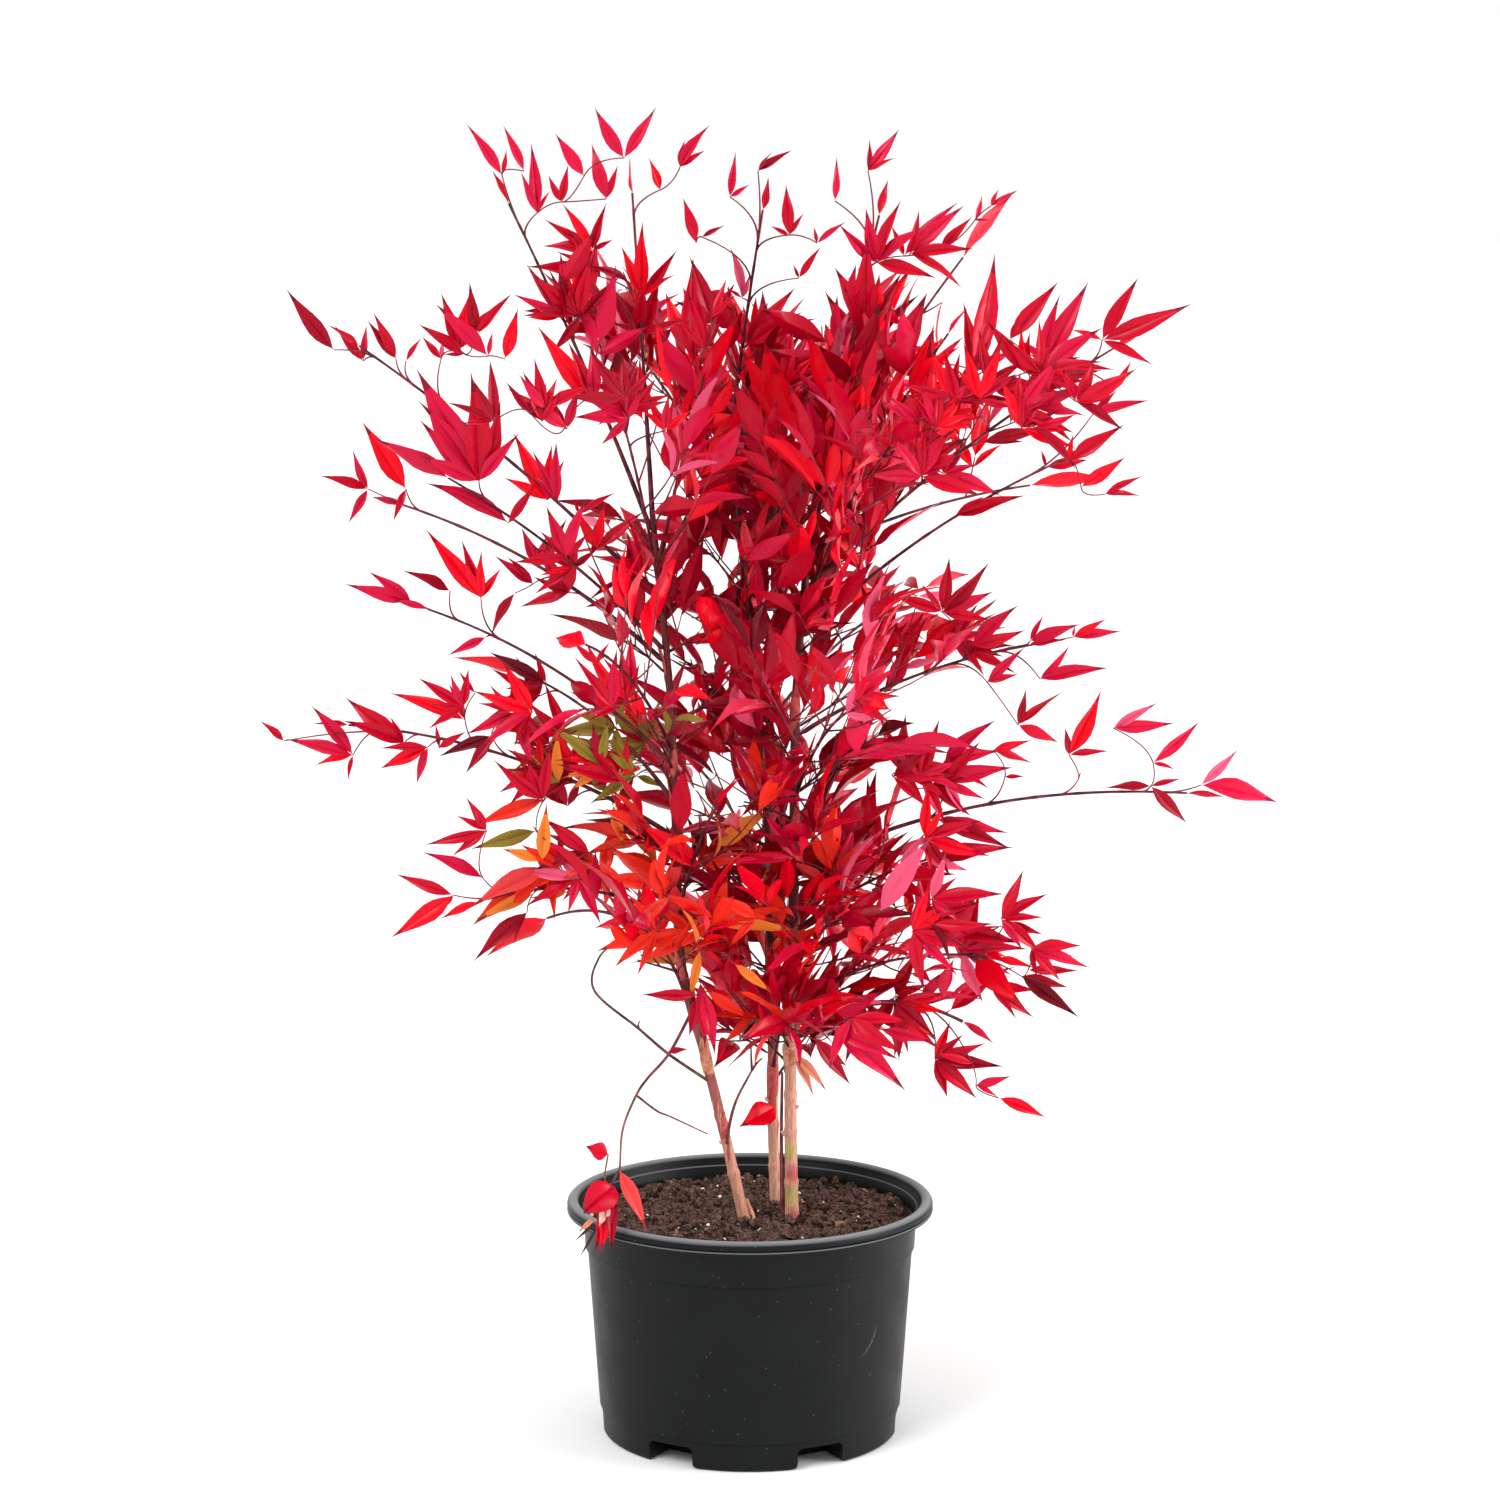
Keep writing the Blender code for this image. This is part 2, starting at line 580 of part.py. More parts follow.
def try_ways(make, root, along, plane_normal, trees, rng):
    """The piece that a maker gives in the first direction that is clear, and that direction."""
    across = blade_side(along, plane_normal, rng)
    for turn in WAY_TURNS:
        way = Matrix.Rotation(radians(turn), 3, plane_normal) @ along
        side = (across - way * across.dot(way)).normalized()
        if is_clear(make(root + way * OWN_CLEARANCE, way, side, LEAF_CLEARANCE), trees):
            return make(root, way, side, 0.0), way
    return None, None


def put_leaf(pieces, root, along, plane_normal, length, trees, rng):
    """Add a leaf where it is clear."""
    def make(start, way, side, grow):
        return leaf_piece(start, way, side, length, grow)
    piece, _ = try_ways(make, root, along, plane_normal, trees, rng)
    if piece:
        pieces.append(piece)


def put_pinna(pieces, root, along, plane_normal, stalk, leaf, trees, rng):
    """Add a side twig that ends in a leaf and, where it is long enough, carries a pair of leaves."""
    def make(start, way, side, grow):
        return pinna_piece(start, way, side, stalk, leaf, grow)
    piece, way = try_ways(make, root, along, plane_normal, trees, rng)
    if not piece:
        return
    pieces.append(piece)
    if stalk > leaf * PAIR_SHARE:
        for hand in (-1, 1):
            out = Matrix.Rotation(hand * LEAFLET_ANGLE, 3, plane_normal) @ way
            put_leaf(pieces, root + way * (stalk * PAIR_PLACE), out, plane_normal, leaf * SIDE_LEAF, trees, rng)


def grow_mass(spray, curve, last, sideways, trees, rng):
    """Twigs and leaves of one mass, grown out from its stem by the seeded rule."""
    leaf = LEAF_LENGTH * rng.uniform(0.95, 1.05)
    pieces = []
    lift = UPWARD * (spray.height - DROOP_HEIGHT)
    for i in range(spray.nodes):
        place = (i + 0.45) / spray.nodes
        share = spray.bare + (last - spray.bare) * (BARE_STALK + (1 - BARE_STALK) * place)
        node = on_curve(curve, share)
        along = along_curve(curve, share)
        roll = radians(NODE_ROLLS[i % 2] + rng.uniform(-ROLL_SPREAD, ROLL_SPREAD))
        side = Matrix.Rotation(roll, 3, along) @ sideways
        normal = along.cross(side).normalized()
        reach = spray.width * (1 - PINNA_SHORTEN * place) * rng.uniform(0.85, 1.1)
        stalk = max(reach - 0.45 * leaf, SHORT_STALK)
        for hand in (-1, 1):
            way = along * cos(PINNA_ANGLE) + side * (hand * sin(PINNA_ANGLE))
            way = (way + Vector((0.0, 0.0, lift))).normalized()
            put_pinna(pieces, node, way, normal, stalk, leaf, trees, rng)
    along = along_curve(curve, last)
    normal = along.cross(sideways).normalized()
    for hand in (-1, 1):
        way = Matrix.Rotation(hand * LEAFLET_ANGLE, 3, normal) @ along
        root = on_curve(curve, last) - along * TIP_PAIR_BACK
        put_leaf(pieces, root, way, normal, leaf * TIP_PAIR_LEAF, trees, rng)
    return pieces


def largest_island(bm):
    """Keep the body with the most faces and drop loose scraps."""
    left = set(bm.faces)
    best = set()
    while left:
        first = left.pop()
        island = {first}
        waiting = [first]
        while waiting:
            face = waiting.pop()
            near = {other for edge in face.edges for other in edge.link_faces} & left
            left -= near
            island |= near
            waiting += near
        if len(island) > len(best):
            best = island
    bmesh.ops.delete(bm, geom=[face for face in bm.faces if face not in best], context="FACES")


def join_mass(name, stem, pieces):
    """Fuse a stem, its twigs and its leaves into one closed solid."""
    body = add_object(name, bmesh_of(stem), CRIMSON, smooth=False)
    group = bpy.data.collections.new(name + "_growth")
    bpy.context.scene.collection.children.link(group)
    for i, piece in enumerate(pieces):
        part = add_object(f"{name}_{i:02d}", bmesh_of(piece), smooth=False)
        bpy.context.scene.collection.objects.unlink(part)
        group.objects.link(part)
    union = body.modifiers.new("fuse", "BOOLEAN")
    union.operation = "UNION"
    union.operand_type = "COLLECTION"
    union.collection = group
    union.solver = "MANIFOLD"
    fused = bpy.data.meshes.new_from_object(body.evaluated_get(bpy.context.evaluated_depsgraph_get()))
    body.modifiers.remove(union)
    for part in list(group.objects):
        bpy.data.objects.remove(part, do_unlink=True)
    bpy.data.collections.remove(group)
    bm = bmesh.new()
    bm.from_mesh(fused)
    largest_island(bm)
    bm.to_mesh(body.data)
    bm.free()


def direction(azimuth, elevation):
    """A direction from its azimuth and elevation in degrees."""
    flat = cos(radians(elevation))
    return Vector((flat * cos(radians(azimuth)), flat * sin(radians(azimuth)), sin(radians(elevation))))


def make_whip(whip, cane):
    """A thin kinked whip from the left cane, and the place and direction of its end."""
    middle, along = cane_at(cane, whip.start)
    first = Vector(whip.bends[0])
    outward = first - middle
    normal = (outward - along * outward.dot(along)).normalized()
    start = middle + normal * (cane_radius(cane, whip.start) + GAP)
    route = [start] + [Vector(point) for point in whip.bends]
    steps = len(route) - 1
    radii = [WHIP_RADIUS + (WHIP_TIP_RADIUS - WHIP_RADIUS) * i / steps for i in range(steps + 1)]
    rings = seated(tube_rings(route, radii, WHIP_SIDES), (route[1] - route[0]).normalized(), (start, normal))
    piece = hull(rings)
    add_object(whip.name, bmesh_of(piece), DARK_BARK)
    return piece, route[-1], (route[-1] - route[-2]).normalized()


def make_hanging_leaves(end, along):
    """The cluster that hangs outside the rim from the end of its whip."""
    foot = Vector(HANGING_STEM)
    down = (foot - end).normalized()
    across = down.cross(Vector((0.0, 0.0, 1.0))).normalized()
    rings = [twig_ring(place, down, across, WHIP_TIP_RADIUS) for place in (end, foot)]
    stem = hull(seated(rings, down, (end + along * GAP, along)), None, foot + down * 0.004)
    pieces = []
    for share, azimuth, elevation, length in HANGING_LEAVES:
        way = direction(azimuth, elevation)
        side = way.cross(direction(azimuth + 90, 20)).normalized()
        pieces.append(leaf_piece(end.lerp(foot, share), way, side, length))
    join_mass("foliage_hanging", stem, pieces)
    return pieces + [stem]


def make_low_leaf(cane):
    """The single leaf that stands on the middle cane just over the soil."""
    height, azimuth, elevation, length = LOW_LEAF
    middle, _ = cane_at(cane, height)
    way = direction(azimuth, elevation)
    root = middle + way * ((cane_radius(cane, height) + GAP) / cos(radians(elevation)) + LEAF_SINK)
    piece = leaf_piece(root, way, way.cross(direction(azimuth, elevation + 50)).normalized(), length)
    add_object("leaf_low", bmesh_of(piece), CRIMSON, smooth=False)
    return piece


def make_limbs(canes):
    """The canes and the whips, with their search trees, and the end of the whip that carries leaves."""
    trees = []
    for cane in CANES:
        piece = cane_piece(cane)
        add_object(cane.name, bmesh_of(piece), BARK)
        trees.append(tree_of(piece))
    for whip in WHIPS:
        piece, end, along = make_whip(whip, canes["cane_left"])
        trees.append(tree_of(piece))
    return trees, end, along


def lay_out(spray, cane, trees):
    """One spray's arch with its bough, where it has one, and the stem of its mass."""
    curve = spray_curve(spray, cane)
    length = curve_length(curve, 0.0, 1.0)
    first = 0.0
    if spray.bare >= BOUGH_SHARE:
        bough = bough_piece(spray, curve)
        add_object("bough_" + spray.name, bmesh_of(bough), DARK_BARK)
        trees.append(tree_of(bough))
        first = spray.bare + GAP / length
    sideways = direction(spray.azimuth + 90, 0)
    last = 1.0 - TIP_LEAF * LEAF_LENGTH / length
    return curve, last, sideways, stem_piece(spray, curve, first, last, sideways)


def make_plant(pot, soil):
    """Limbs first, then boughs and stems, and last the leaves, which keep clear of all of them."""
    canes = {cane.name: cane for cane in CANES}
    trees, end, along = make_limbs(canes)
    graph = bpy.context.evaluated_depsgraph_get()
    trees += [BVHTree.FromObject(thing, graph) for thing in (pot, soil)]
    trees += [tree_of(piece) for piece in make_hanging_leaves(end, along)]
    trees.append(tree_of(make_low_leaf(canes["cane_middle"])))
    plans = [lay_out(spray, canes[spray.cane], trees) for spray in SPRAYS]
    stem_trees = [tree_of(stem) for _, _, _, stem in plans]
    for number, spray in enumerate(SPRAYS):
        curve, last, sideways, stem = plans[number]
        others = stem_trees[:number] + stem_trees[number + 1:]
        pieces = grow_mass(spray, curve, last, sideways, trees + others, random.Random(SEED + number))
        join_mass("foliage_" + spray.name, stem, pieces)
        trees += [tree_of(piece) for piece in pieces]


clear_scene()
make_plant(make_pot(), make_soil())
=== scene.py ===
from collections import namedtuple
from math import atan, atan2, cos, degrees, exp, pi, radians, sin, tan
import random

import bmesh
import bpy
from mathutils import Matrix, Vector, noise
import numpy as np


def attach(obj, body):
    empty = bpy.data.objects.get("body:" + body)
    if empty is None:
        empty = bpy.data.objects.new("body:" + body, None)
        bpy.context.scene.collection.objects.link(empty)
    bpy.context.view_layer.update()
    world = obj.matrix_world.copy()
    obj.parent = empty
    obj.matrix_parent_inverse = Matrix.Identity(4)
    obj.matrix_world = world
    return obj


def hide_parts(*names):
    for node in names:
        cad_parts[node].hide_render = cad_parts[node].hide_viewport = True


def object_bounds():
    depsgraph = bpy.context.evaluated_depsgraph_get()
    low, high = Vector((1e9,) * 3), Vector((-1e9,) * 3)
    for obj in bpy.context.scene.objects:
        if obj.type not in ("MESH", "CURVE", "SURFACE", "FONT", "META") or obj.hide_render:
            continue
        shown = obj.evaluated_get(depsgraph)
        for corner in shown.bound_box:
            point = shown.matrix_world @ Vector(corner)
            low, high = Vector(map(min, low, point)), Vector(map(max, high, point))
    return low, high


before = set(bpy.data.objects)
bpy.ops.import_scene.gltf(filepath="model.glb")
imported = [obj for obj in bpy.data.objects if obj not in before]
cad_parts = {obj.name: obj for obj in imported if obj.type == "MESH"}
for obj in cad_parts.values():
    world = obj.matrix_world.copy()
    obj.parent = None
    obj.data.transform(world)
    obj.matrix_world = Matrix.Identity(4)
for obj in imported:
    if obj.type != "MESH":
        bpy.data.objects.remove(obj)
cad_low, cad_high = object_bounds()


# The pot
# The real one is a nine-litre nursery pot, injection moulded in black polypropylene two millimetres thick.
# Its lip is rolled over and has a flange under it, a step below lets stacked pots catch, and six feet stand
# on the ground with a drain hole in each gap between them.
RIM_RADIUS = 0.150
POT_HEIGHT = 0.196
WALL = 0.002
POT_STEPS = 168
LIP_ROLL = 0.005
FLANGE_LOW = 0.1855
NECK_RADIUS = 0.1372
LEDGE_HEIGHT = 0.1772
LEDGE_DEPTH = 0.0009
STEP_HEIGHT = 0.156
STEP_DEPTH = 0.0019
BAND_RADIUS = 0.1352
BODY_TOP_RADIUS = 0.1333
BODY_FOOT_RADIUS = 0.1240
SKIRT_HEIGHT = 0.0235
SKIRT_RADIUS = 0.1224
FOOT_CORNER = 0.004
SKIRT_LEAN = 0.001
SKIRT_SHOULDER = 0.0008
FLANGE_ROUND = 0.0008
FLANGE_THICKNESS = 0.0022
POT_CREASE = 38
FLOOR = 0.003
FOOT_COUNT = 6
FOOT_TURN = radians(-92.0)
CHANNEL_WIDTH = 0.041
CHANNEL_HEIGHT = 0.018
CHANNEL_INNER_RADIUS = 0.086
CHANNEL_ROUND = 0.0045
DRAIN_RADIUS = 0.006
DRAIN_PLACE = 0.102


def arc(centre_a, centre_b, radius, start, end, steps):
    """Points of an outline's round stretch, from one angle to another in degrees."""
    turns = [radians(start + (end - start) * i / steps) for i in range(steps + 1)]
    return [(centre_a + radius * cos(turn), centre_b + radius * sin(turn)) for turn in turns]


def turned(profile):
    """A closed solid spun about Z from a profile that starts and ends on the axis."""
    bm = bmesh.new()
    verts = [bm.verts.new((r, 0.0, z)) for r, z in profile]
    edges = [bm.edges.new(pair) for pair in zip(verts, verts[1:])]
    bmesh.ops.spin(bm, geom=verts + edges, cent=(0, 0, 0), axis=(0, 0, 1), angle=2 * pi,
                   steps=POT_STEPS, use_merge=True, use_duplicate=False)
    bmesh.ops.remove_doubles(bm, verts=bm.verts, dist=1e-6)
    bmesh.ops.recalc_face_normals(bm, faces=bm.faces)
    return bm


def add_thing(name, data):
    """Put a mesh, a lamp or a camera in the scene as an object at the origin."""
    thing = bpy.data.objects.new(name, data)
    bpy.context.scene.collection.objects.link(thing)
    return thing


def add_object(name, bm):
    """Turn a bmesh into an object."""
    mesh = bpy.data.meshes.new(name)
    bm.to_mesh(mesh)
    bm.free()
    return add_thing(name, mesh)


def gap_outline(grow):
    """The gap between two feet, seen from outside: flared at the ground and rounded at the top corners."""
    half = CHANNEL_WIDTH / 2 + grow
    top = CHANNEL_HEIGHT + grow
    side = arc(half + CHANNEL_ROUND, CHANNEL_ROUND, CHANNEL_ROUND, 270, 180, 5)
    side += arc(half - CHANNEL_ROUND, top - CHANNEL_ROUND, CHANNEL_ROUND, 0, 90, 5)
    side = [(side[0][0], -FLOOR)] + side
    return side + [(-across, height) for across, height in reversed(side)]


def foot_gaps(grow):
    """The six gaps between the feet as blocks, grown by a wall."""
    bm = bmesh.new()
    for i in range(FOOT_COUNT):
        turn = FOOT_TURN + 2 * pi * (i + 0.5) / FOOT_COUNT
        outline = [bm.verts.new((CHANNEL_INNER_RADIUS - grow, across, height))
                   for across, height in gap_outline(grow)]
        face = bm.faces.new(outline)
        far = bmesh.ops.extrude_face_region(bm, geom=[face])["geom"]
        end = [v for v in far if isinstance(v, bmesh.types.BMVert)]
        bmesh.ops.translate(bm, verts=end, vec=(RIM_RADIUS - CHANNEL_INNER_RADIUS, 0, 0))
        bmesh.ops.rotate(bm, verts=outline + end, cent=(0, 0, 0), matrix=Matrix.Rotation(turn, 3, "Z"))
    bmesh.ops.recalc_face_normals(bm, faces=bm.faces)
    return bm


def drain_pins():
    """Round cutters for one drain hole over each gap."""
    bm = bmesh.new()
    for i in range(FOOT_COUNT):
        turn = FOOT_TURN + 2 * pi * (i + 0.5) / FOOT_COUNT
        place = Matrix.Translation((DRAIN_PLACE * cos(turn), DRAIN_PLACE * sin(turn), CHANNEL_HEIGHT))
        bmesh.ops.create_cone(bm, cap_ends=True, segments=32, radius1=DRAIN_RADIUS,
                              radius2=DRAIN_RADIUS, depth=4 * WALL, matrix=place)
    return bm


def outer_profile():
    """The pot's outside from the middle of the underside up over the rolled lip to the axis."""
    crown = RIM_RADIUS - LIP_ROLL
    points = [(0.0, 0.0)]
    points += arc(SKIRT_RADIUS - SKIRT_LEAN - FOOT_CORNER, FOOT_CORNER, FOOT_CORNER, -90, 0, 5)
    points += [(SKIRT_RADIUS, SKIRT_HEIGHT - SKIRT_SHOULDER), (BODY_FOOT_RADIUS, SKIRT_HEIGHT)]
    points += [(BODY_TOP_RADIUS, STEP_HEIGHT - STEP_DEPTH), (BAND_RADIUS, STEP_HEIGHT)]
    points += [(NECK_RADIUS - 0.0004, FLANGE_LOW - 0.0012), (NECK_RADIUS + 0.0006, FLANGE_LOW)]
    points += arc(RIM_RADIUS - FLANGE_ROUND, FLANGE_LOW + FLANGE_ROUND, FLANGE_ROUND, -90, 0, 2)
    points += [(RIM_RADIUS, FLANGE_LOW + FLANGE_THICKNESS), (RIM_RADIUS - 0.0012, FLANGE_LOW + 0.0031)]
    points += arc(crown, POT_HEIGHT - LIP_ROLL, LIP_ROLL, -20, 90, 9)
    return points + [(0.0, POT_HEIGHT)]


def wall_radius(height):
    """Inner radius of the wall at a height between the skirt and the ledge."""
    if height > STEP_HEIGHT:
        share = (height - STEP_HEIGHT) / (FLANGE_LOW - STEP_HEIGHT)
        return BAND_RADIUS - WALL + (NECK_RADIUS - BAND_RADIUS) * share
    share = (height - SKIRT_HEIGHT) / (STEP_HEIGHT - SKIRT_HEIGHT)
    return BODY_FOOT_RADIUS - WALL + (BODY_TOP_RADIUS - BODY_FOOT_RADIUS) * share


def inside_foot(shrink):
    """The lower part of the pot's inside, from the axis to the stacking step, drawn in by a gap."""
    points = [(0.0, FLOOR + shrink)]
    points += arc(SKIRT_RADIUS - WALL - FOOT_CORNER - shrink, FLOOR + FOOT_CORNER + shrink,
                  FOOT_CORNER, -90, 0, 4)
    points.append((wall_radius(SKIRT_HEIGHT) - shrink, SKIRT_HEIGHT + WALL))
    points.append((wall_radius(STEP_HEIGHT - STEP_DEPTH) - shrink, STEP_HEIGHT - STEP_DEPTH))
    return points + [(BAND_RADIUS - WALL - shrink, STEP_HEIGHT)]


def inner_profile():
    """The pot's whole inside, with the small ledge under the lip."""
    points = inside_foot(0.0)
    points.append((wall_radius(LEDGE_HEIGHT) - LEDGE_DEPTH, LEDGE_HEIGHT - LEDGE_DEPTH / 2))
    points.append((wall_radius(LEDGE_HEIGHT), LEDGE_HEIGHT))
    points.append((wall_radius(FLANGE_LOW), FLANGE_LOW))
    points += arc(RIM_RADIUS - LIP_ROLL, POT_HEIGHT - LIP_ROLL, LIP_ROLL, 180, 100, 8)
    top = POT_HEIGHT + LIP_ROLL
    return points + [(RIM_RADIUS - LIP_ROLL, top), (0.0, top)]


def cut(thing, *cutters):
    """Take cutters out of a piece for good, and remove them."""
    for cutter in cutters:
        modifier = thing.modifiers.new(cutter.name, "BOOLEAN")
        modifier.operation = "DIFFERENCE"
        modifier.object = cutter
    shape = thing.evaluated_get(bpy.context.evaluated_depsgraph_get())
    thing.data = bpy.data.meshes.new_from_object(shape)
    thing.modifiers.clear()
    for cutter in cutters:
        bpy.data.objects.remove(cutter, do_unlink=True)


def linear(tone):
    """A colour for a socket from its sRGB hex value."""
    parts = [int(tone[i:i + 2], 16) / 255 for i in (1, 3, 5)]
    parts = [p / 12.92 if p <= 0.04045 else ((p + 0.055) / 1.055) ** 2.4 for p in parts]
    return (*parts, 1.0)


def add_node(tree, kind, inputs=None, stops=(), give=0, **settings):
    """Add a shader node with its settings, its values or links and its colour stops, and give one output."""
    made = tree.nodes.new("ShaderNode" + kind)
    for name, value in settings.items():
        setattr(made, name, value)
    for key, value in (inputs or {}).items():
        if isinstance(value, bpy.types.NodeSocket):
            tree.links.new(value, made.inputs[key])
        else:
            made.inputs[key].default_value = value
    for i, (place, tone) in enumerate(stops):
        band = made.color_ramp.elements
        element = band[i] if i < 2 else band.new(place)
        element.position = place
        element.color = linear(tone)
    return made.outputs[give]


def finish(name, **values):
    """A new material with plain values on its shader, and its node tree."""
    coat = bpy.data.materials.new(name)
    coat.use_nodes = True
    shader = coat.node_tree.nodes["Principled BSDF"]
    for key, value in values.items():
        shader.inputs[key.replace("_", " ")].default_value = value
    return coat, coat.node_tree


def wired(coat, **outputs):
    """The material once outputs of its nodes are linked to its shader."""
    shader = coat.node_tree.nodes["Principled BSDF"]
    for key, output in outputs.items():
        coat.node_tree.links.new(output, shader.inputs[key.replace("_", " ")])
    return coat


def dress(piece, coat, crease=None):
    """Shade a piece smooth, apart from edges sharper than a crease in degrees, and give it its material."""
    piece.data.shade_smooth()
    if crease:
        piece.data.set_sharp_from_angle(angle=radians(crease))
    piece.data.materials.append(coat)


SCUFF_CENTRE = (0.0777, -0.102, 0.116)
SCUFF_RADIUS = 0.0325


def polypropylene():
    """Black polypropylene, moulded: a dull sheen, fine grain, a scuff, flecks and a painted highlight on lip
    and flange.
    """
    coat, tree = finish("moulded_black_polypropylene", IOR=1.49, Specular_IOR_Level=0.12)
    place = add_node(tree, "TexCoord", give="Object")
    across, back, up = add_node(tree, "SeparateXYZ", {0: place}).node.outputs
    cloud = add_node(tree, "TexNoise", {"Vector": place, "Scale": 1 / 0.035, "Detail": 4.0})
    fine = add_node(tree, "TexNoise", {"Vector": place, "Scale": 1 / 0.0012, "Detail": 2.0})
    body = add_node(tree, "Mix", {0: cloud, 6: linear("#0D0E0E"), 7: linear("#151718")}, give=2,
                    data_type="RGBA")
    # A curved scuff on the front right of the wall: a thin stretch of a sphere's skin round a near point
    reach = add_node(tree, "VectorMath", {0: place, 1: SCUFF_CENTRE}, give="Value", operation="DISTANCE")
    off = add_node(tree, "Math", {0: reach, 1: SCUFF_RADIUS}, operation="SUBTRACT")
    off = add_node(tree, "Math", {0: off}, operation="ABSOLUTE")
    mask = add_node(tree, "MapRange", {0: off, 1: 0.0001, 2: 0.0009, 3: 0.6, 4: 0.0})
    for source, start, end in ((across, SCUFF_CENTRE[0] + 0.010, SCUFF_CENTRE[0] + 0.020),
                               (up, SCUFF_CENTRE[2] - 0.004, SCUFF_CENTRE[2] - 0.012),
                               (back, -0.060, -0.064), (fine, 0.35, 0.6)):
        limit = add_node(tree, "MapRange", {0: source, 1: start, 2: end})
        mask = add_node(tree, "Math", {0: mask, 1: limit}, operation="MULTIPLY")
    # Painted highlight: a grey line on the flange's edge and a grey top on the lip; sparse pale flecks a
    # millimetre wide
    flecks = add_node(tree, "TexVoronoi", {"Vector": place, "Scale": 1 / 0.009}, give="Distance")
    edge = add_node(tree, "Math", {0: up, 1: FLANGE_LOW + 0.0020}, operation="SUBTRACT")
    edge = add_node(tree, "Math", {0: edge}, operation="ABSOLUTE")
    for source, start, end, low, high in ((edge, 0.0002, 0.0007, 0.5, 0.0),
                                          (up, POT_HEIGHT - 0.0030, POT_HEIGHT - 0.0004, 0.0, 0.85),
                                          (flecks, 0.045, 0.08, 0.25, 0.0)):
        highlight_and_flecks = add_node(tree, "MapRange", {0: source, 1: start, 2: end, 3: low, 4: high})
        mask = add_node(tree, "Math", {0: mask, 1: highlight_and_flecks}, operation="MAXIMUM")
    # The scuff, the flecks and the painted highlight on the lip and the flange all take this pale grey
    tone = add_node(tree, "Mix", {0: mask, 6: body, 7: linear("#84888A")}, give=2, data_type="RGBA")
    rough = add_node(tree, "MapRange", {0: cloud, 1: 0.3, 2: 0.7, 3: 0.36, 4: 0.50})
    # Moulding grain about a millimetre across, drawn coarser than the real tenth so that it shows
    bump = add_node(tree, "Bump", {"Strength": 0.12, "Distance": 0.0002, "Height": fine})
    return wired(coat, Base_Color=tone, Roughness=rough, Normal=bump)


pot = add_object("nursery_pot", turned(outer_profile()))
hollow = add_object("hollow", turned(inner_profile()))
cut(hollow, add_object("gap_walls", foot_gaps(WALL)))
cut(pot, add_object("gaps", foot_gaps(0.0)), hollow, add_object("drains", drain_pins()))
dress(pot, polypropylene(), POT_CREASE)
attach(pot, "root")
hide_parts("pot")


# The compost
# Potting compost fills the pot to 24 mm under its top: dark crumbs of peat and bark fibre, tipped in and
# watered down, with white grains of perlite and a few chips of wood among them.
GAP = 0.0003
SOIL_TOP = 0.172
SOIL_RING = 0.0021
CRUMBS = 5200
FIBRES = 420
GRAINS = 210
CHIPS = 26
CRUMB_SIZES = (0.0010, 0.0056)
GRAIN_SIZES = (0.0006, 0.0021)
CHIP_SIZES = (0.0022, 0.0065)
LIE = (0.0050, 0.060)
LUMPS = (0.0050, 0.014)
CLODS = (0.0062, 0.0060)
GRIT = (0.0014, 0.0025)
HEAP_HEIGHT = 0.0045
HEAP_SPREAD = 0.00014
CRUMB_CREASE = 50
FIBRE_POINTS = 6
CANE_FEET = ((-0.003, -0.019), (0.0215, 0.016), (0.0345, -0.007))


def ground(x, y):
    """Height of the compost's crumbly surface: each unevenness has a height and a span."""
    here = Vector((x, y, 0.0))
    lie = 0.004 + LIE[0] * noise.noise(here / LIE[1] + Vector((0.5, 0, 2)))
    lumps = LUMPS[0] * noise.noise(here / LUMPS[1] + Vector((7, 3, 1)))
    clods = CLODS[0] * abs(noise.noise(here / CLODS[1])) + GRIT[0] * noise.noise(here / GRIT[1])
    heaped = sum(HEAP_HEIGHT * exp(-((x - foot[0]) ** 2 + (y - foot[1]) ** 2) / HEAP_SPREAD)
                 for foot in CANE_FEET)
    return SOIL_TOP + lie + lumps + clods + heaped


def compost_shape():
    """The compost as a solid: its foot fits the pot, and its top is displaced into crumbs."""
    edge = wall_radius(SOIL_TOP) - GAP
    rings = int(edge / SOIL_RING)
    top = [(edge * (1 - i / rings), SOIL_TOP) for i in range(rings + 1)]
    bm = turned(inside_foot(GAP) + top)
    for v in bm.verts:
        if v.co.z > SOIL_TOP - 1e-5:
            v.co.z = ground(v.co.x, v.co.y)
    return bm


def taken(bm):
    """The points and faces of a bmesh, which isn't kept."""
    bm.verts.index_update()
    shape = [v.co.copy() for v in bm.verts], [[v.index for v in face.verts] for face in bm.faces]
    bm.free()
    return shape


def pile(heap, points, faces):
    """Add a small shape to a heap of points and faces."""
    first = len(heap[0])
    heap[0].extend(points)
    heap[1].extend([tuple(first + i for i in face) for face in faces])


def add_heap(name, heap):
    """Turn a heap of small shapes into one object at the origin."""
    mesh = bpy.data.meshes.new(name)
    mesh.from_pydata(heap[0], [], heap[1])
    mesh.validate()
    return add_thing(name, mesh)


def lump(subdivisions, rough, rng):
    """Points and faces of a rough lump of radius one."""
    bm = bmesh.new()
    bmesh.ops.create_icosphere(bm, subdivisions=subdivisions, radius=1.0)
    shift = Vector((rng.uniform(0, 50), rng.uniform(0, 50), 0))
    points, faces = taken(bm)
    return [point * (1 + rough * noise.noise(point * 1.7 + shift)) for point in points], faces


def spot(rng, rim=0.003):
    """A seeded place on the compost, evenly spread over its disc."""
    reach = (wall_radius(SOIL_TOP) - rim) * rng.random() ** 0.5
    turn = rng.uniform(0, 2 * pi)
    return reach * cos(turn), reach * sin(turn)


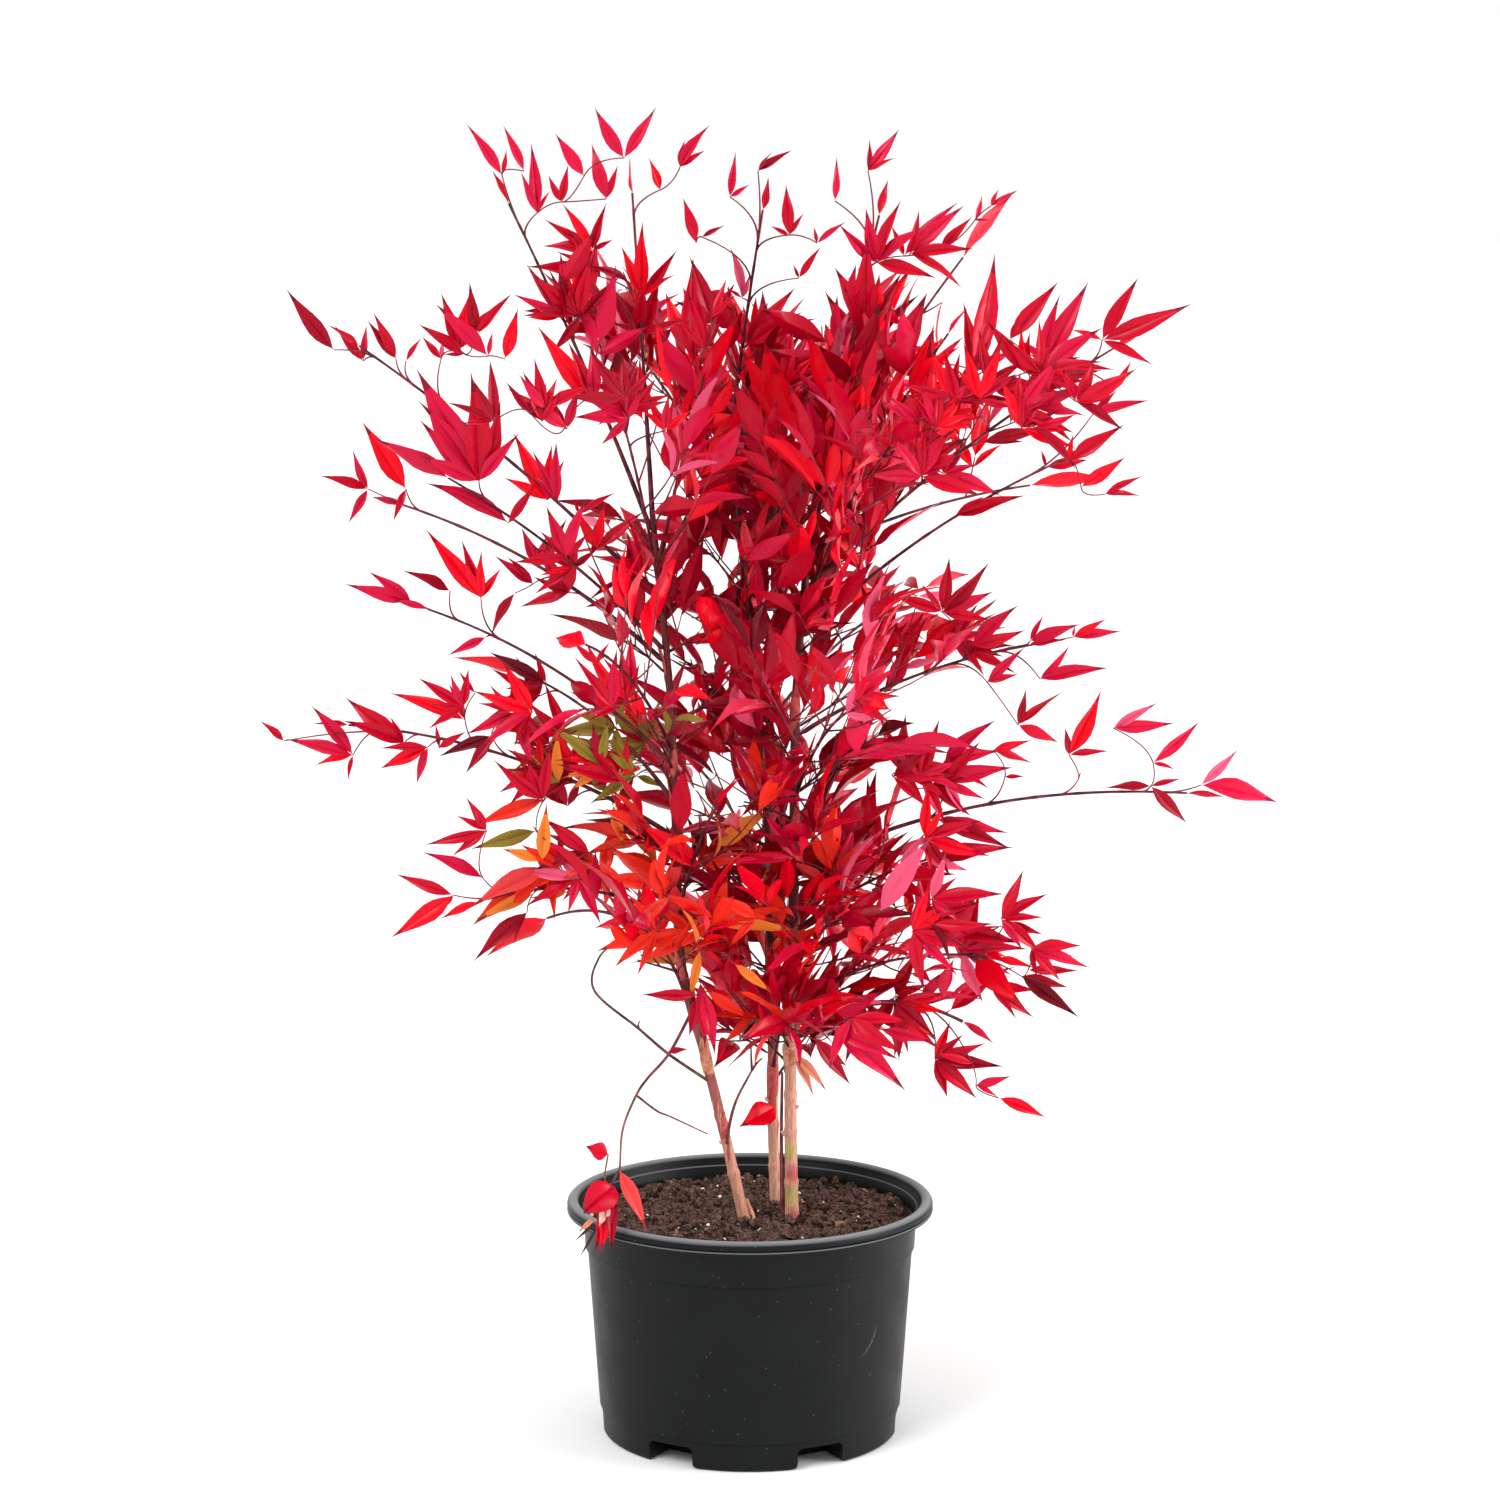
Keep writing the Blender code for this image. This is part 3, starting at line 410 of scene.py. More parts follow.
def scattered(count, sizes, squash, kinds, sink, rng):
    """Lumps strewn over the compost, each turned and sized by the seed."""
    heap = ([], [])
    for _ in range(count):
        x, y = spot(rng, sizes[1] + 0.001)
        size = sizes[0] + (sizes[1] - sizes[0]) * rng.random() ** 2.6
        spin = Matrix.Rotation(rng.uniform(0, 2 * pi), 3, Vector((rng.gauss(0, 1), rng.gauss(0, 1), 1)))
        points, faces = rng.choice(kinds)
        centre = Vector((x, y, ground(x, y) + size * sink))
        stretch = Vector((1.0, rng.uniform(squash, 1.0), rng.uniform(squash, 1.0))) * size
        pile(heap, [centre + spin @ (p * stretch) for p in points], faces)
    return heap


def tube(route, radii, sides, tip=0.6):
    """Points and faces of a thin closed twig through a route, pointed at both ends."""
    across = None
    points = [route[0] - (route[1] - route[0]).normalized() * radii[0]]
    for i, centre in enumerate(route):
        along = (route[min(i + 1, len(route) - 1)] - route[max(i - 1, 0)]).normalized()
        across = along.orthogonal() if across is None else across - along * across.dot(along)
        across.normalize()
        up = along.cross(across)
        for k in range(sides):
            turn = 2 * pi * k / sides
            points.append(centre + (across * cos(turn) + up * sin(turn)) * radii[i])
    points.append(route[-1] + (route[-1] - route[-2]).normalized() * (radii[-1] * tip))
    last = len(points) - 1
    faces = [(0, 1 + (k + 1) % sides, 1 + k) for k in range(sides)]
    for j in range(len(route) - 1):
        for k in range(sides):
            a = 1 + j * sides + k
            b = 1 + j * sides + (k + 1) % sides
            faces.append((a, b, b + sides, a + sides))
    end = 1 + (len(route) - 1) * sides
    faces += [(end + k, end + (k + 1) % sides, last) for k in range(sides)]
    return points, faces


def fibre_heap(rng):
    """Bent root and bark fibres that lie on the compost, a quarter of a millimetre thick."""
    heap = ([], [])
    for _ in range(FIBRES):
        x, y = spot(rng, 0.012)
        heading = rng.uniform(0, 2 * pi)
        step = rng.uniform(0.0012, 0.0030)
        route = []
        for i in range(FIBRE_POINTS):
            arched = 0.0022 * sin(pi * i / (FIBRE_POINTS - 1)) * rng.random()
            route.append(Vector((x, y, ground(x, y) + 0.0006 + arched)))
            heading += rng.gauss(0, 0.5)
            x += step * cos(heading)
            y += step * sin(heading)
        radius = rng.uniform(0.00014, 0.00032)
        pile(heap, *tube(route, [radius] * FIBRE_POINTS, 4))
    return heap


def crumbly(name, dark, pale, grain, roughness):
    """A matt crumbly finish mottled between two tones, with pores a grain apart."""
    coat, tree = finish(name, Roughness=roughness, Specular_IOR_Level=0.25)
    place = add_node(tree, "TexCoord", give="Object")
    mottle = add_node(tree, "TexNoise",
                      {"Vector": place, "Scale": 1 / grain, "Detail": 5.0, "Roughness": 0.65})
    tone = add_node(tree, "ValToRGB", {0: mottle}, stops=[(0.36, dark), (0.68, pale)])
    bump = add_node(tree, "Bump", {"Strength": 0.6, "Distance": grain / 5, "Height": mottle})
    return wired(coat, Base_Color=tone, Normal=bump)


soil_seed = random.Random(11)
rounded = [lump(1, 0.85, soil_seed) for _ in range(9)]
compost = add_object("compost", compost_shape())
cut(compost, add_object("raised_gaps", foot_gaps(WALL + GAP)))
crumbs = scattered(CRUMBS, CRUMB_SIZES, 0.55, rounded, 0.30, soil_seed)
fibres = fibre_heap(soil_seed)
grains = scattered(GRAINS, GRAIN_SIZES, 0.7, rounded, 1.1, soil_seed)
chips = scattered(CHIPS, CHIP_SIZES, 0.25, rounded, 0.3, soil_seed)
for piece, *coat in (
        (compost, "moist_peat", "#0F0807", "#3A2824", 0.0040, 0.92),
        (add_heap("compost_crumbs", crumbs), "crumbled_peat", "#170C0A", "#775A4E", 0.0026, 0.95),
        (add_heap("root_fibres", fibres), "dry_root_fibre", "#4A2B20", "#9A6B50", 0.0050, 0.8),
        (add_heap("perlite_grains", grains), "expanded_perlite", "#D8D2CC", "#FFFDF8", 0.0010, 0.9),
        (add_heap("wood_chips", chips), "pine_bark_chips", "#6B4030", "#B98C6A", 0.0020, 0.85)):
    dress(piece, crumbly(*coat), CRUMB_CREASE)
    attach(piece, "root")
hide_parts("soil")


# The canes
# Three woody canes stand in the compost. Their bark is thin, peach-coloured and peeling low down, and turns
# to a smooth dark maroon higher up, with a swollen collar wherever a leaf has stood.
Cane = namedtuple("Cane", "name foot_radius tip_radius route")
CANES = (
    Cane("cane_left", 0.0046, 0.0024, (
        (-0.003, -0.019, SOIL_TOP + GAP), (-0.019, -0.024, 0.246), (-0.036, -0.027, 0.318),
        (-0.056, -0.028, 0.400), (-0.060, -0.027, 0.520), (-0.066, -0.022, 0.640), (-0.078, -0.016, 0.760))),
    Cane("cane_middle", 0.0046, 0.0024, (
        (0.0215, 0.016, SOIL_TOP + GAP), (0.019, 0.019, 0.253), (0.018, 0.023, 0.359),
        (0.014, 0.028, 0.508), (0.000, 0.034, 0.606), (-0.004, 0.037, 0.690), (-0.014, 0.038, 0.830))),
    Cane("cane_right", 0.0054, 0.0025, (
        (0.0345, -0.007, SOIL_TOP + GAP), (0.033, -0.008, 0.287), (0.035, -0.010, 0.442),
        (0.036, -0.013, 0.572), (0.040, -0.018, 0.660), (0.054, -0.024, 0.790))),
)
FLARE = 0.35
FLARE_HEIGHT = 0.010
CANE_SIDES = 28
CANE_STEP = 0.0022
BARK_CREASE = 60
FURROWS = (0.00034, 0.022)
STRIPS = (0.00022, 0.060)
BARK_GRAIN = (0.00012, 0.006)
JOINT_SPACING = (0.026, 0.052)
JOINT_SWELL = 0.16
STAINS = (("#AEA65A", (0.0310, -0.0130, 0.2370)), ("#AEA65A", (0.0330, -0.0130, 0.1990)),
          ("#B84A50", (0.0360, -0.0130, 0.2170)), ("#B84A50", (0.0370, -0.0130, 0.1800)))


def smooth_route(points, share):
    """A point on the smooth curve through a limb's bends, at a share of its run."""
    spans = len(points) - 1
    place = min(share * spans, spans - 1e-6)
    i = int(place)
    t = place - i
    p1 = Vector(points[i])
    p2 = Vector(points[i + 1])
    p0 = Vector(points[i - 1]) if i > 0 else p1 * 2 - p2
    p3 = Vector(points[i + 2]) if i + 2 <= spans else p2 * 2 - p1
    return 0.5 * (2 * p1 + (p2 - p0) * t + (2 * p0 - 5 * p1 + 4 * p2 - p3) * t * t
                  + (3 * p1 - p0 - 3 * p2 + p3) * t * t * t)


def cane_radius(cane, height):
    """Radius of a cane at a height: a straight taper and a short flare at the root."""
    foot = cane.route[0][2]
    share = (height - foot) / (cane.route[-1][2] - foot)
    plain = cane.foot_radius + (cane.tip_radius - cane.foot_radius) * share
    return plain * (1 + FLARE * exp(-(height - foot) / FLARE_HEIGHT))


def cane_at(cane, height):
    """The middle of a cane at a height, and its direction there."""
    low = 0.0
    high = 1.0
    for _ in range(30):
        share = (low + high) / 2
        if smooth_route(cane.route, share).z < height:
            low = share
        else:
            high = share
    here = smooth_route(cane.route, low)
    before = smooth_route(cane.route, max(low - 0.02, 0.0))
    after = smooth_route(cane.route, min(low + 0.02, 1.0))
    return here, (after - before).normalized()


def swept(route, sides, skin):
    """A limb made by extruding a ring up a route. The skin gives a radius at a place along it and a turn."""
    bm = bmesh.new()
    turn_of = bm.verts.layers.float.new("turn")
    ring = bmesh.ops.create_circle(bm, cap_ends=True, segments=sides, radius=1.0)["verts"]
    for v in ring:
        v[turn_of] = atan2(v.co.y, v.co.x)
    edges = [edge for edge in bm.edges if edge.is_boundary]
    across = Vector((1.0, 0.0, 0.0))
    walked = 0.0
    for i, centre in enumerate(route):
        if i:
            grown = bmesh.ops.extrude_edge_only(bm, edges=edges)["geom"]
            ring = [part for part in grown if isinstance(part, bmesh.types.BMVert)]
            edges = [part for part in grown if isinstance(part, bmesh.types.BMEdge)]
            walked += (centre - route[i - 1]).length
        along = (route[min(i + 1, len(route) - 1)] - route[max(i - 1, 0)]).normalized()
        if i == 0 and along.z > 0.5:
            along = Vector((0.0, 0.0, 1.0))
        across = (across - along * across.dot(along)).normalized()
        up = along.cross(across)
        for v in ring:
            turn = v[turn_of]
            v.co = centre + (across * cos(turn) + up * sin(turn)) * skin(walked, turn)
    bmesh.ops.edgeloop_fill(bm, edges=edges)
    bmesh.ops.recalc_face_normals(bm, faces=bm.faces)
    bm.verts.layers.float.remove(turn_of)
    return bm


def joints_along(length, rng):
    """Places of the swollen joints along a limb."""
    places = []
    place = rng.uniform(*JOINT_SPACING)
    while place < length:
        places.append(place)
        place += rng.uniform(*JOINT_SPACING)
    return places


def joint_swell(place, joints):
    """How much a limb swells near a joint: a low collar with a short shoulder over it."""
    swell = 0.0
    for joint in joints:
        off = place - joint
        if abs(off) < 0.012:
            swell += JOINT_SWELL * exp(-(off / (0.0016 if off > 0 else 0.0042)) ** 2)
    return swell


def cane_bark(cane, rng):
    """A cane's mesh: its taper with furrows, cracks and collars. Each relief has a height and a span."""
    foot = cane.route[0][2]
    height = cane.route[-1][2] - foot
    steps = int(height / CANE_STEP)
    route = [smooth_route(cane.route, i / steps) for i in range(steps + 1)]
    joints = joints_along(height, rng)
    shift = rng.uniform(0, 40)

    def skin(walked, turn):
        radius = cane_radius(cane, foot + min(walked, height))
        around = Vector((cos(turn), sin(turn), 0.0))
        furrow = noise.noise(around * 2.2 + Vector((0, shift, walked / FURROWS[1])))
        strip = noise.noise(around * 5.0 + Vector((shift, 0, walked / STRIPS[1])))
        grain = noise.noise(around * 9.0 + Vector((shift, shift, walked / BARK_GRAIN[1])))
        relief = FURROWS[0] * furrow + STRIPS[0] * round(strip * 2) / 2 + BARK_GRAIN[0] * grain
        return radius * (1 + joint_swell(walked, joints)) + relief

    return swept(route, CANE_SIDES, skin)


def bark(name, peach, rose, maroon, turns_at, stains=()):
    """Peeling bark: peach low down, rose brown over it and maroon above, with stains where it is young."""
    coat, tree = finish(name, IOR=1.45, Specular_IOR_Level=0.35)
    place = add_node(tree, "TexCoord", give="Object")
    height = add_node(tree, "SeparateXYZ", {0: place}, give=2)
    # Fibres run up the cane: the pattern is fifteen times as long as it is wide
    long = add_node(tree, "Mapping", {"Vector": place, "Scale": (1.0, 1.0, 1 / 15)})
    strips = add_node(tree, "TexNoise", {"Vector": long, "Scale": 1 / 0.0035, "Detail": 3.0})
    fibres = add_node(tree, "TexNoise", {"Vector": long, "Scale": 1 / 0.0008, "Detail": 2.0})
    ragged = add_node(tree, "Math", {0: strips, 1: 0.30, 2: height}, operation="MULTIPLY_ADD")
    zone = add_node(tree, "MapRange", {0: ragged, 1: turns_at + 0.10, 2: turns_at + 0.28})
    tone = add_node(tree, "ValToRGB", {0: zone}, stops=[
        (0.0, peach), (1.0, maroon), (0.22, peach), (0.34, rose), (0.70, rose), (0.90, maroon)])
    blotch = add_node(tree, "TexNoise", {"Vector": place, "Scale": 1 / 0.006, "Detail": 2.0})
    for stain, centre in stains:
        reach = add_node(tree, "VectorMath", {0: place, 1: centre}, give="Value", operation="DISTANCE")
        torn = add_node(tree, "Math", {0: blotch, 1: 0.012, 2: reach}, operation="MULTIPLY_ADD")
        cover = add_node(tree, "MapRange", {0: torn, 1: 0.0105, 2: 0.0165, 3: 0.80, 4: 0.0})
        tone = add_node(tree, "Mix", {0: cover, 6: tone, 7: linear(stain)}, give=2, data_type="RGBA")
    shade = add_node(tree, "MapRange", {0: fibres, 1: 0.30, 2: 0.60, 3: 0.55, 4: 0.0})
    dark = add_node(tree, "Mix", {0: shade, 6: tone, 7: linear("#7A342C")}, give=2, data_type="RGBA")
    rough = add_node(tree, "MapRange", {0: zone, 3: 0.80, 4: 0.50})
    bump = add_node(tree, "Bump", {"Strength": 0.6, "Distance": 0.0003, "Height": fibres})
    return wired(coat, Base_Color=dark, Roughness=rough, Normal=bump)


cane_coats = {
    "cane_left": bark("peach_peeling_bark", "#CC927A", "#9A524C", "#5A1A1E", 0.250),
    "cane_middle": bark("pale_peeling_bark", "#D4A28A", "#B84C44", "#561619", 0.280),
    "cane_right": bark("green_peach_bark", "#D09A82", "#B05A54", "#5E1A1D", 0.320, STAINS),
}
cane_seed = random.Random(23)
for cane in CANES:
    piece = add_object(cane.name + "_bark", cane_bark(cane, cane_seed))
    dress(piece, cane_coats[cane.name], BARK_CREASE)
    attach(piece, "root")
    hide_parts(cane.name)


# Sheaths, buds and stubs
# The base of each old leaf clasps its cane as a thin papery sheath, open on one side and standing off at its
# top. They dry from red to peach. Pale buds sit over some joints, and a dead stub stands by the left cane.
SHEATH_THICKNESS = 0.0003
SHEATH_LOW = 0.306
SHEATH_TOP = 0.64
SHEATH_LENGTH = (0.018, 0.036)
SHEATH_WRAP = (110, 230)
SHEATH_FLARE = (0.0004, 0.0035)
SHEATH_SPACING = (0.026, 0.050)
SHEATH_TURN = (120, 200)
RED_WRAPS = (("cane_middle", 0.279, 265, 0.040, 210), ("cane_left", 0.252, 300, 0.018, 150))
BUDS = (("cane_middle", 0.272, 200, 0.0034), ("cane_right", 0.250, 200, 0.0040),
        ("cane_right", 0.272, 350, 0.0030), ("cane_left", 0.246, 180, 0.0028))
STUB = ((0.0050, -0.0150, 0.170), (0.0010, -0.0140, 0.184), (-0.0035, -0.0135, 0.196))
STUB_RADII = (0.0030, 0.0026, 0.0019)


def sheath(heap, cane, height, azimuth, length, wrap, flare):
    """A thin clasping sheath: wrapped round the cane at its foot, narrow and flared at its top."""
    bm = bmesh.new()
    bmesh.ops.create_grid(bm, x_segments=8, y_segments=7, size=1.0)
    for v in bm.verts:
        share = (v.co.y + 1) / 2
        turn = radians(azimuth) + v.co.x * radians(wrap) / 2 * (1 - 0.85 * share ** 1.6)
        top = height + length * (share + 0.16 * v.co.x + 0.10 * sin(5 * v.co.x + azimuth))
        middle, _ = cane_at(cane, top)
        radius = cane_radius(cane, top) * 1.06 + 0.0006 + flare * share ** 2.2
        v.co = middle + Vector((cos(turn), sin(turn), 0.0)) * radius
    bmesh.ops.solidify(bm, geom=bm.faces, thickness=-SHEATH_THICKNESS)
    bmesh.ops.recalc_face_normals(bm, faces=bm.faces)
    pile(heap, *taken(bm))


def bud(heap, cane, height, azimuth, size):
    """A blunt pale bud that stands out of a joint."""
    middle, _ = cane_at(cane, height)
    way = Vector((cos(radians(azimuth)), sin(radians(azimuth)), 0.0))
    root = middle + way * (cane_radius(cane, height) * 0.8)
    route = [root, root + way * size * 0.5, root + way * size + Vector((0, 0, size * 0.6))]
    pile(heap, *tube(route, [size * 0.42, size * 0.46, size * 0.26], 8))


red_sheaths = ([], [])
dry_sheaths = ([], [])
pale_buds = ([], [])
sheath_seed = random.Random(5)
cane_named = {cane.name: cane for cane in CANES}
for cane in CANES:
    height = SHEATH_LOW
    azimuth = sheath_seed.uniform(200, 340)
    while height < SHEATH_TOP:
        length = sheath_seed.uniform(*SHEATH_LENGTH)
        red = sheath_seed.random() < 0.55 + 1.2 * (height - 0.2)
        sheath(red_sheaths if red else dry_sheaths, cane, height, azimuth, length,
               sheath_seed.uniform(*SHEATH_WRAP), sheath_seed.uniform(*SHEATH_FLARE))
        height += sheath_seed.uniform(*SHEATH_SPACING)
        azimuth += sheath_seed.uniform(*SHEATH_TURN)
for name, height, azimuth, length, wrap in RED_WRAPS:
    sheath(red_sheaths, cane_named[name], height, azimuth, length, wrap, 0.0002)
for name, height, azimuth, size in BUDS:
    bud(pale_buds, cane_named[name], height, azimuth, size)
pile(dry_sheaths, *tube([Vector(point) for point in STUB], STUB_RADII, 9))
for name, heap, pale, deep in (("red_sheaths", red_sheaths, "#CE6A60", "#A03238"),
                               ("dry_sheaths", dry_sheaths, "#E2AC8B", "#A85A44"),
                               ("pale_buds", pale_buds, "#EBCBAF", "#C08A6C")):
    piece = add_heap(name, heap)
    dress(piece, crumbly(name + "_papery_bark", deep, pale, 0.0060, 0.7), CRUMB_CREASE)
    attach(piece, "root")


# Boughs and leaf stalks
# Each spray of leaves hangs on one long jointed stalk that leaves its cane, arches out and thins to its tip.
# The bare stretch near the cane is its bough. They are smooth, hard and dark red. Shorter shoots of the same
# kind, which the solids leave out, fill the middle of the clump.
Spray = namedtuple("Spray", "name cane start azimuth reach height arch bare width leafy")
SPRAYS = [Spray(*row) for row in (
    ("top_far_left", "cane_left", 0.745, 193, 0.225, 1.065, 0.00, 0.30, 0.085, 0.75),
    ("top_left", "cane_left", 0.760, 149, 0.116, 1.080, -0.01, 0.34, 0.080, 0.70),
    ("top_centre", "cane_middle", 0.830, 290, 0.060, 1.060, 0.00, 0.14, 0.085, 0.70),
    ("top_mid_right", "cane_right", 0.770, 336, 0.128, 1.060, 0.00, 0.34, 0.085, 0.70),
    ("top_right", "cane_right", 0.790, 13, 0.219, 1.013, 0.00, 0.17, 0.090, 0.90),
    ("upper_right_front", "cane_right", 0.715, 325, 0.230, 0.955, 0.01, 0.17, 0.095, 0.95),
    ("upper_right", "cane_right", 0.700, 2, 0.352, 0.922, 0.02, 0.26, 0.100, 0.95),
    ("upper_right_low", "cane_right", 0.660, 345, 0.318, 0.830, 0.03, 0.17, 0.100, 0.90),
    ("upper_right_back", "cane_middle", 0.690, 24, 0.330, 0.775, 0.04, 0.34, 0.095, 0.60),
    ("upper_left", "cane_left", 0.690, 186, 0.369, 0.932, 0.01, 0.26, 0.095, 0.90),
    ("upper_left_front", "cane_left", 0.650, 203, 0.315, 0.825, 0.02, 0.19, 0.095, 0.75),
    ("upper_left_back", "cane_left", 0.640, 170, 0.352, 0.775, 0.04, 0.36, 0.090, 0.70),
    ("middle_left", "cane_left", 0.560, 184, 0.324, 0.700, 0.04, 0.20, 0.095, 0.70),
    ("middle_left_back", "cane_left", 0.530, 160, 0.262, 0.630, 0.05, 0.19, 0.090, 0.70),
    ("middle_left_low", "cane_left", 0.500, 177, 0.398, 0.585, 0.05, 0.30, 0.100, 0.90),
    ("middle_right", "cane_right", 0.580, 352, 0.296, 0.665, 0.03, 0.19, 0.095, 0.90),
    ("middle_right_low", "cane_right", 0.470, 2, 0.430, 0.520, 0.06, 0.36, 0.095, 0.60),
    ("lower_right_front", "cane_right", 0.420, 338, 0.225, 0.500, 0.03, 0.12, 0.090, 1.00),
    ("lower_right", "cane_right", 0.360, 349, 0.275, 0.385, 0.06, 0.14, 0.095, 1.00),
    ("lower_right_tip", "cane_right", 0.330, 12, 0.245, 0.285, 0.09, 0.60, 0.060, 0.60),
    ("lower_left", "cane_left", 0.430, 188, 0.293, 0.415, 0.07, 0.19, 0.090, 0.90),
    ("lower_left_back", "cane_left", 0.400, 155, 0.245, 0.375, 0.08, 0.20, 0.085, 0.60),
    ("lower_left_front", "cane_left", 0.370, 238, 0.225, 0.455, 0.05, 0.12, 0.090, 1.00),
    ("lower_front", "cane_middle", 0.300, 285, 0.150, 0.335, 0.07, 0.10, 0.080, 1.00),
    ("upper_front_left", "cane_left", 0.680, 250, 0.300, 0.880, 0.02, 0.17, 0.125, 0.95),
    ("upper_front_right", "cane_right", 0.680, 294, 0.305, 0.850, 0.03, 0.17, 0.125, 0.95),
    ("middle_front_left", "cane_left", 0.570, 244, 0.325, 0.690, 0.04, 0.17, 0.125, 0.90),
    ("middle_front_right", "cane_right", 0.530, 288, 0.330, 0.640, 0.05, 0.17, 0.125, 0.95),
    ("upper_back_left", "cane_middle", 0.760, 122, 0.300, 0.950, 0.01, 0.17, 0.130, 0.95),
    ("upper_back_right", "cane_middle", 0.740, 62, 0.310, 0.900, 0.02, 0.17, 0.130, 0.95),
    ("middle_back_left", "cane_middle", 0.620, 118, 0.340, 0.730, 0.04, 0.19, 0.130, 0.95),
    ("middle_back_right", "cane_middle", 0.570, 56, 0.345, 0.680, 0.05, 0.19, 0.130, 0.95),
    ("lower_back_left", "cane_middle", 0.450, 108, 0.310, 0.530, 0.06, 0.17, 0.120, 0.95),
    ("inner_top_left", "cane_left", 0.720, 262, 0.135, 0.930, 0.00, 0.12, 0.095, 0.90),
    ("inner_top_right", "cane_right", 0.740, 312, 0.150, 0.930, 0.00, 0.12, 0.095, 0.90),
    ("inner_middle_front", "cane_middle", 0.600, 268, 0.165, 0.770, 0.02, 0.14, 0.095, 1.00),
    ("inner_middle_back", "cane_middle", 0.660, 95, 0.170, 0.830, 0.02, 0.12, 0.095, 1.00),
    ("inner_low_front", "cane_left", 0.440, 268, 0.175, 0.570, 0.03, 0.14, 0.095, 1.00),
    ("inner_low_right", "cane_right", 0.385, 302, 0.185, 0.450, 0.04, 0.14, 0.095, 1.00),
    ("lower_back_right", "cane_middle", 0.390, 64, 0.280, 0.420, 0.07, 0.15, 0.115, 0.95),
)]
BOUGH_RADIUS = 0.0022
BOUGH_TIP_RADIUS = 0.0014
BOUGH_SHARE = 0.22
STEM_TIP_RADIUS = 0.0007
BEND_SHARE = 0.42
TIP_LEAF = 0.068
STALK_STEP = 0.005
NODE_SPACING = 0.034
Shoots = namedtuple("Shoots", "cane low high count short long")
SHOOTS = [Shoots(*row) for row in (
    ("cane_left", 0.375, 0.600, 8, 0.085, 0.150), ("cane_left", 0.620, 0.755, 7, 0.080, 0.140),
    ("cane_middle", 0.285, 0.600, 15, 0.090, 0.160), ("cane_middle", 0.620, 0.828, 9, 0.090, 0.150),
    ("cane_right", 0.300, 0.600, 16, 0.100, 0.190), ("cane_right", 0.620, 0.788, 9, 0.090, 0.160),
)]
SHOOT_RISE = (8, 42)
SHOOT_BARE = 0.14
SHOOT_WIDTH = 0.075
SHOOT_STOUTNESS = 0.62
GOLDEN_TURN = 137.5


def spray_curve(spray, cane):
    """Three points of a spray's arch, which starts on the cane's skin, or on its end if it is that high."""
    middle, along = cane_at(cane, spray.start)
    angle = radians(spray.azimuth)
    tip = Vector((spray.reach * cos(angle), spray.reach * sin(angle), spray.height))
    if spray.start >= cane.route[-1][2] - 1e-6:
        start = middle + along * GAP
    else:
        outward = tip - middle
        normal = (outward - along * outward.dot(along)).normalized()
        start = middle + normal * (cane_radius(cane, spray.start) + GAP)
    bend = start.lerp(tip, BEND_SHARE)
    bend.z = start.z + 0.5 * (tip.z - start.z) + spray.arch
    return start, bend, tip


def on_curve(curve, share):
    """A point on a spray's arch."""
    start, bend, tip = curve
    return start * (1 - share) ** 2 + bend * (2 * share * (1 - share)) + tip * share ** 2


def along_curve(curve, share):
    """The direction of a spray's arch at a share."""
    start, bend, tip = curve
    return ((bend - start) * (2 * (1 - share)) + (tip - bend) * (2 * share)).normalized()


def curve_length(curve):
    """Length of a spray's arch, by short chords."""
    points = [on_curve(curve, i / 24) for i in range(25)]
    return sum((b - a).length for a, b in zip(points, points[1:]))


def limb_radius(share, bare):
    """Radius along a spray's arch: the bough's taper, then the finer stem's."""
    if share <= bare:
        return BOUGH_RADIUS + (BOUGH_TIP_RADIUS - BOUGH_RADIUS) * share / bare
    part = (share - bare) / (1 - bare)
    return BOUGH_TIP_RADIUS + (STEM_TIP_RADIUS - BOUGH_TIP_RADIUS) * part


def node_shares(spray, length):
    """Shares of the arch where pairs of side stalks stand, and where the leaf at its tip starts."""
    last = 1.0 - TIP_LEAF / length
    first = max(0.10, spray.bare * 0.8)
    count = max(2, round((last - first) * length / NODE_SPACING))
    return [first + (last - first) * (i + 0.4) / count for i in range(count)], last


def inner_shoots(rng):
    """The shorter shoots up each cane, a golden turn apart."""
    shoots = []
    azimuth = 20.0
    for run in SHOOTS:
        for i in range(run.count):
            start = run.low + (run.high - run.low) * (i + rng.uniform(0.2, 0.8)) / run.count
            azimuth += GOLDEN_TURN + rng.uniform(-15, 15)
            rise = radians(rng.uniform(*SHOOT_RISE))
            length = rng.uniform(run.short, run.long)
            out = Vector((cos(radians(azimuth)) * cos(rise), sin(radians(azimuth)) * cos(rise), sin(rise)))
            tip = cane_at(cane_named[run.cane], start)[0] + out * length
            shoots.append(Spray("", run.cane, start, degrees(atan2(tip.y, tip.x)), tip.xy.length, tip.z,
                                rng.uniform(0.0, 0.02), SHOOT_BARE, SHOOT_WIDTH, 1.0))
    return shoots


def stalk_bark(spray, curve, length, rng):
    """The mesh of one arch, with a swollen joint at each pair of side stalks."""
    shares, last = node_shares(spray, length)
    joints = [share * length for share in shares]
    steps = int(length * last / STALK_STEP)
    route = [on_curve(curve, last * i / steps) for i in range(steps + 1)]
    shift = rng.uniform(0, 40)
    stout = 1.0 if spray.name else SHOOT_STOUTNESS

    def skin(walked, turn):
        radius = stout * limb_radius(min(walked / length, 1.0), spray.bare)
        around = Vector((cos(turn), sin(turn), walked / 0.02 + shift))
        return radius * (1 + 1.6 * joint_swell(walked, joints)) + 0.00012 * noise.noise(around)

    return swept(route, 8, skin)


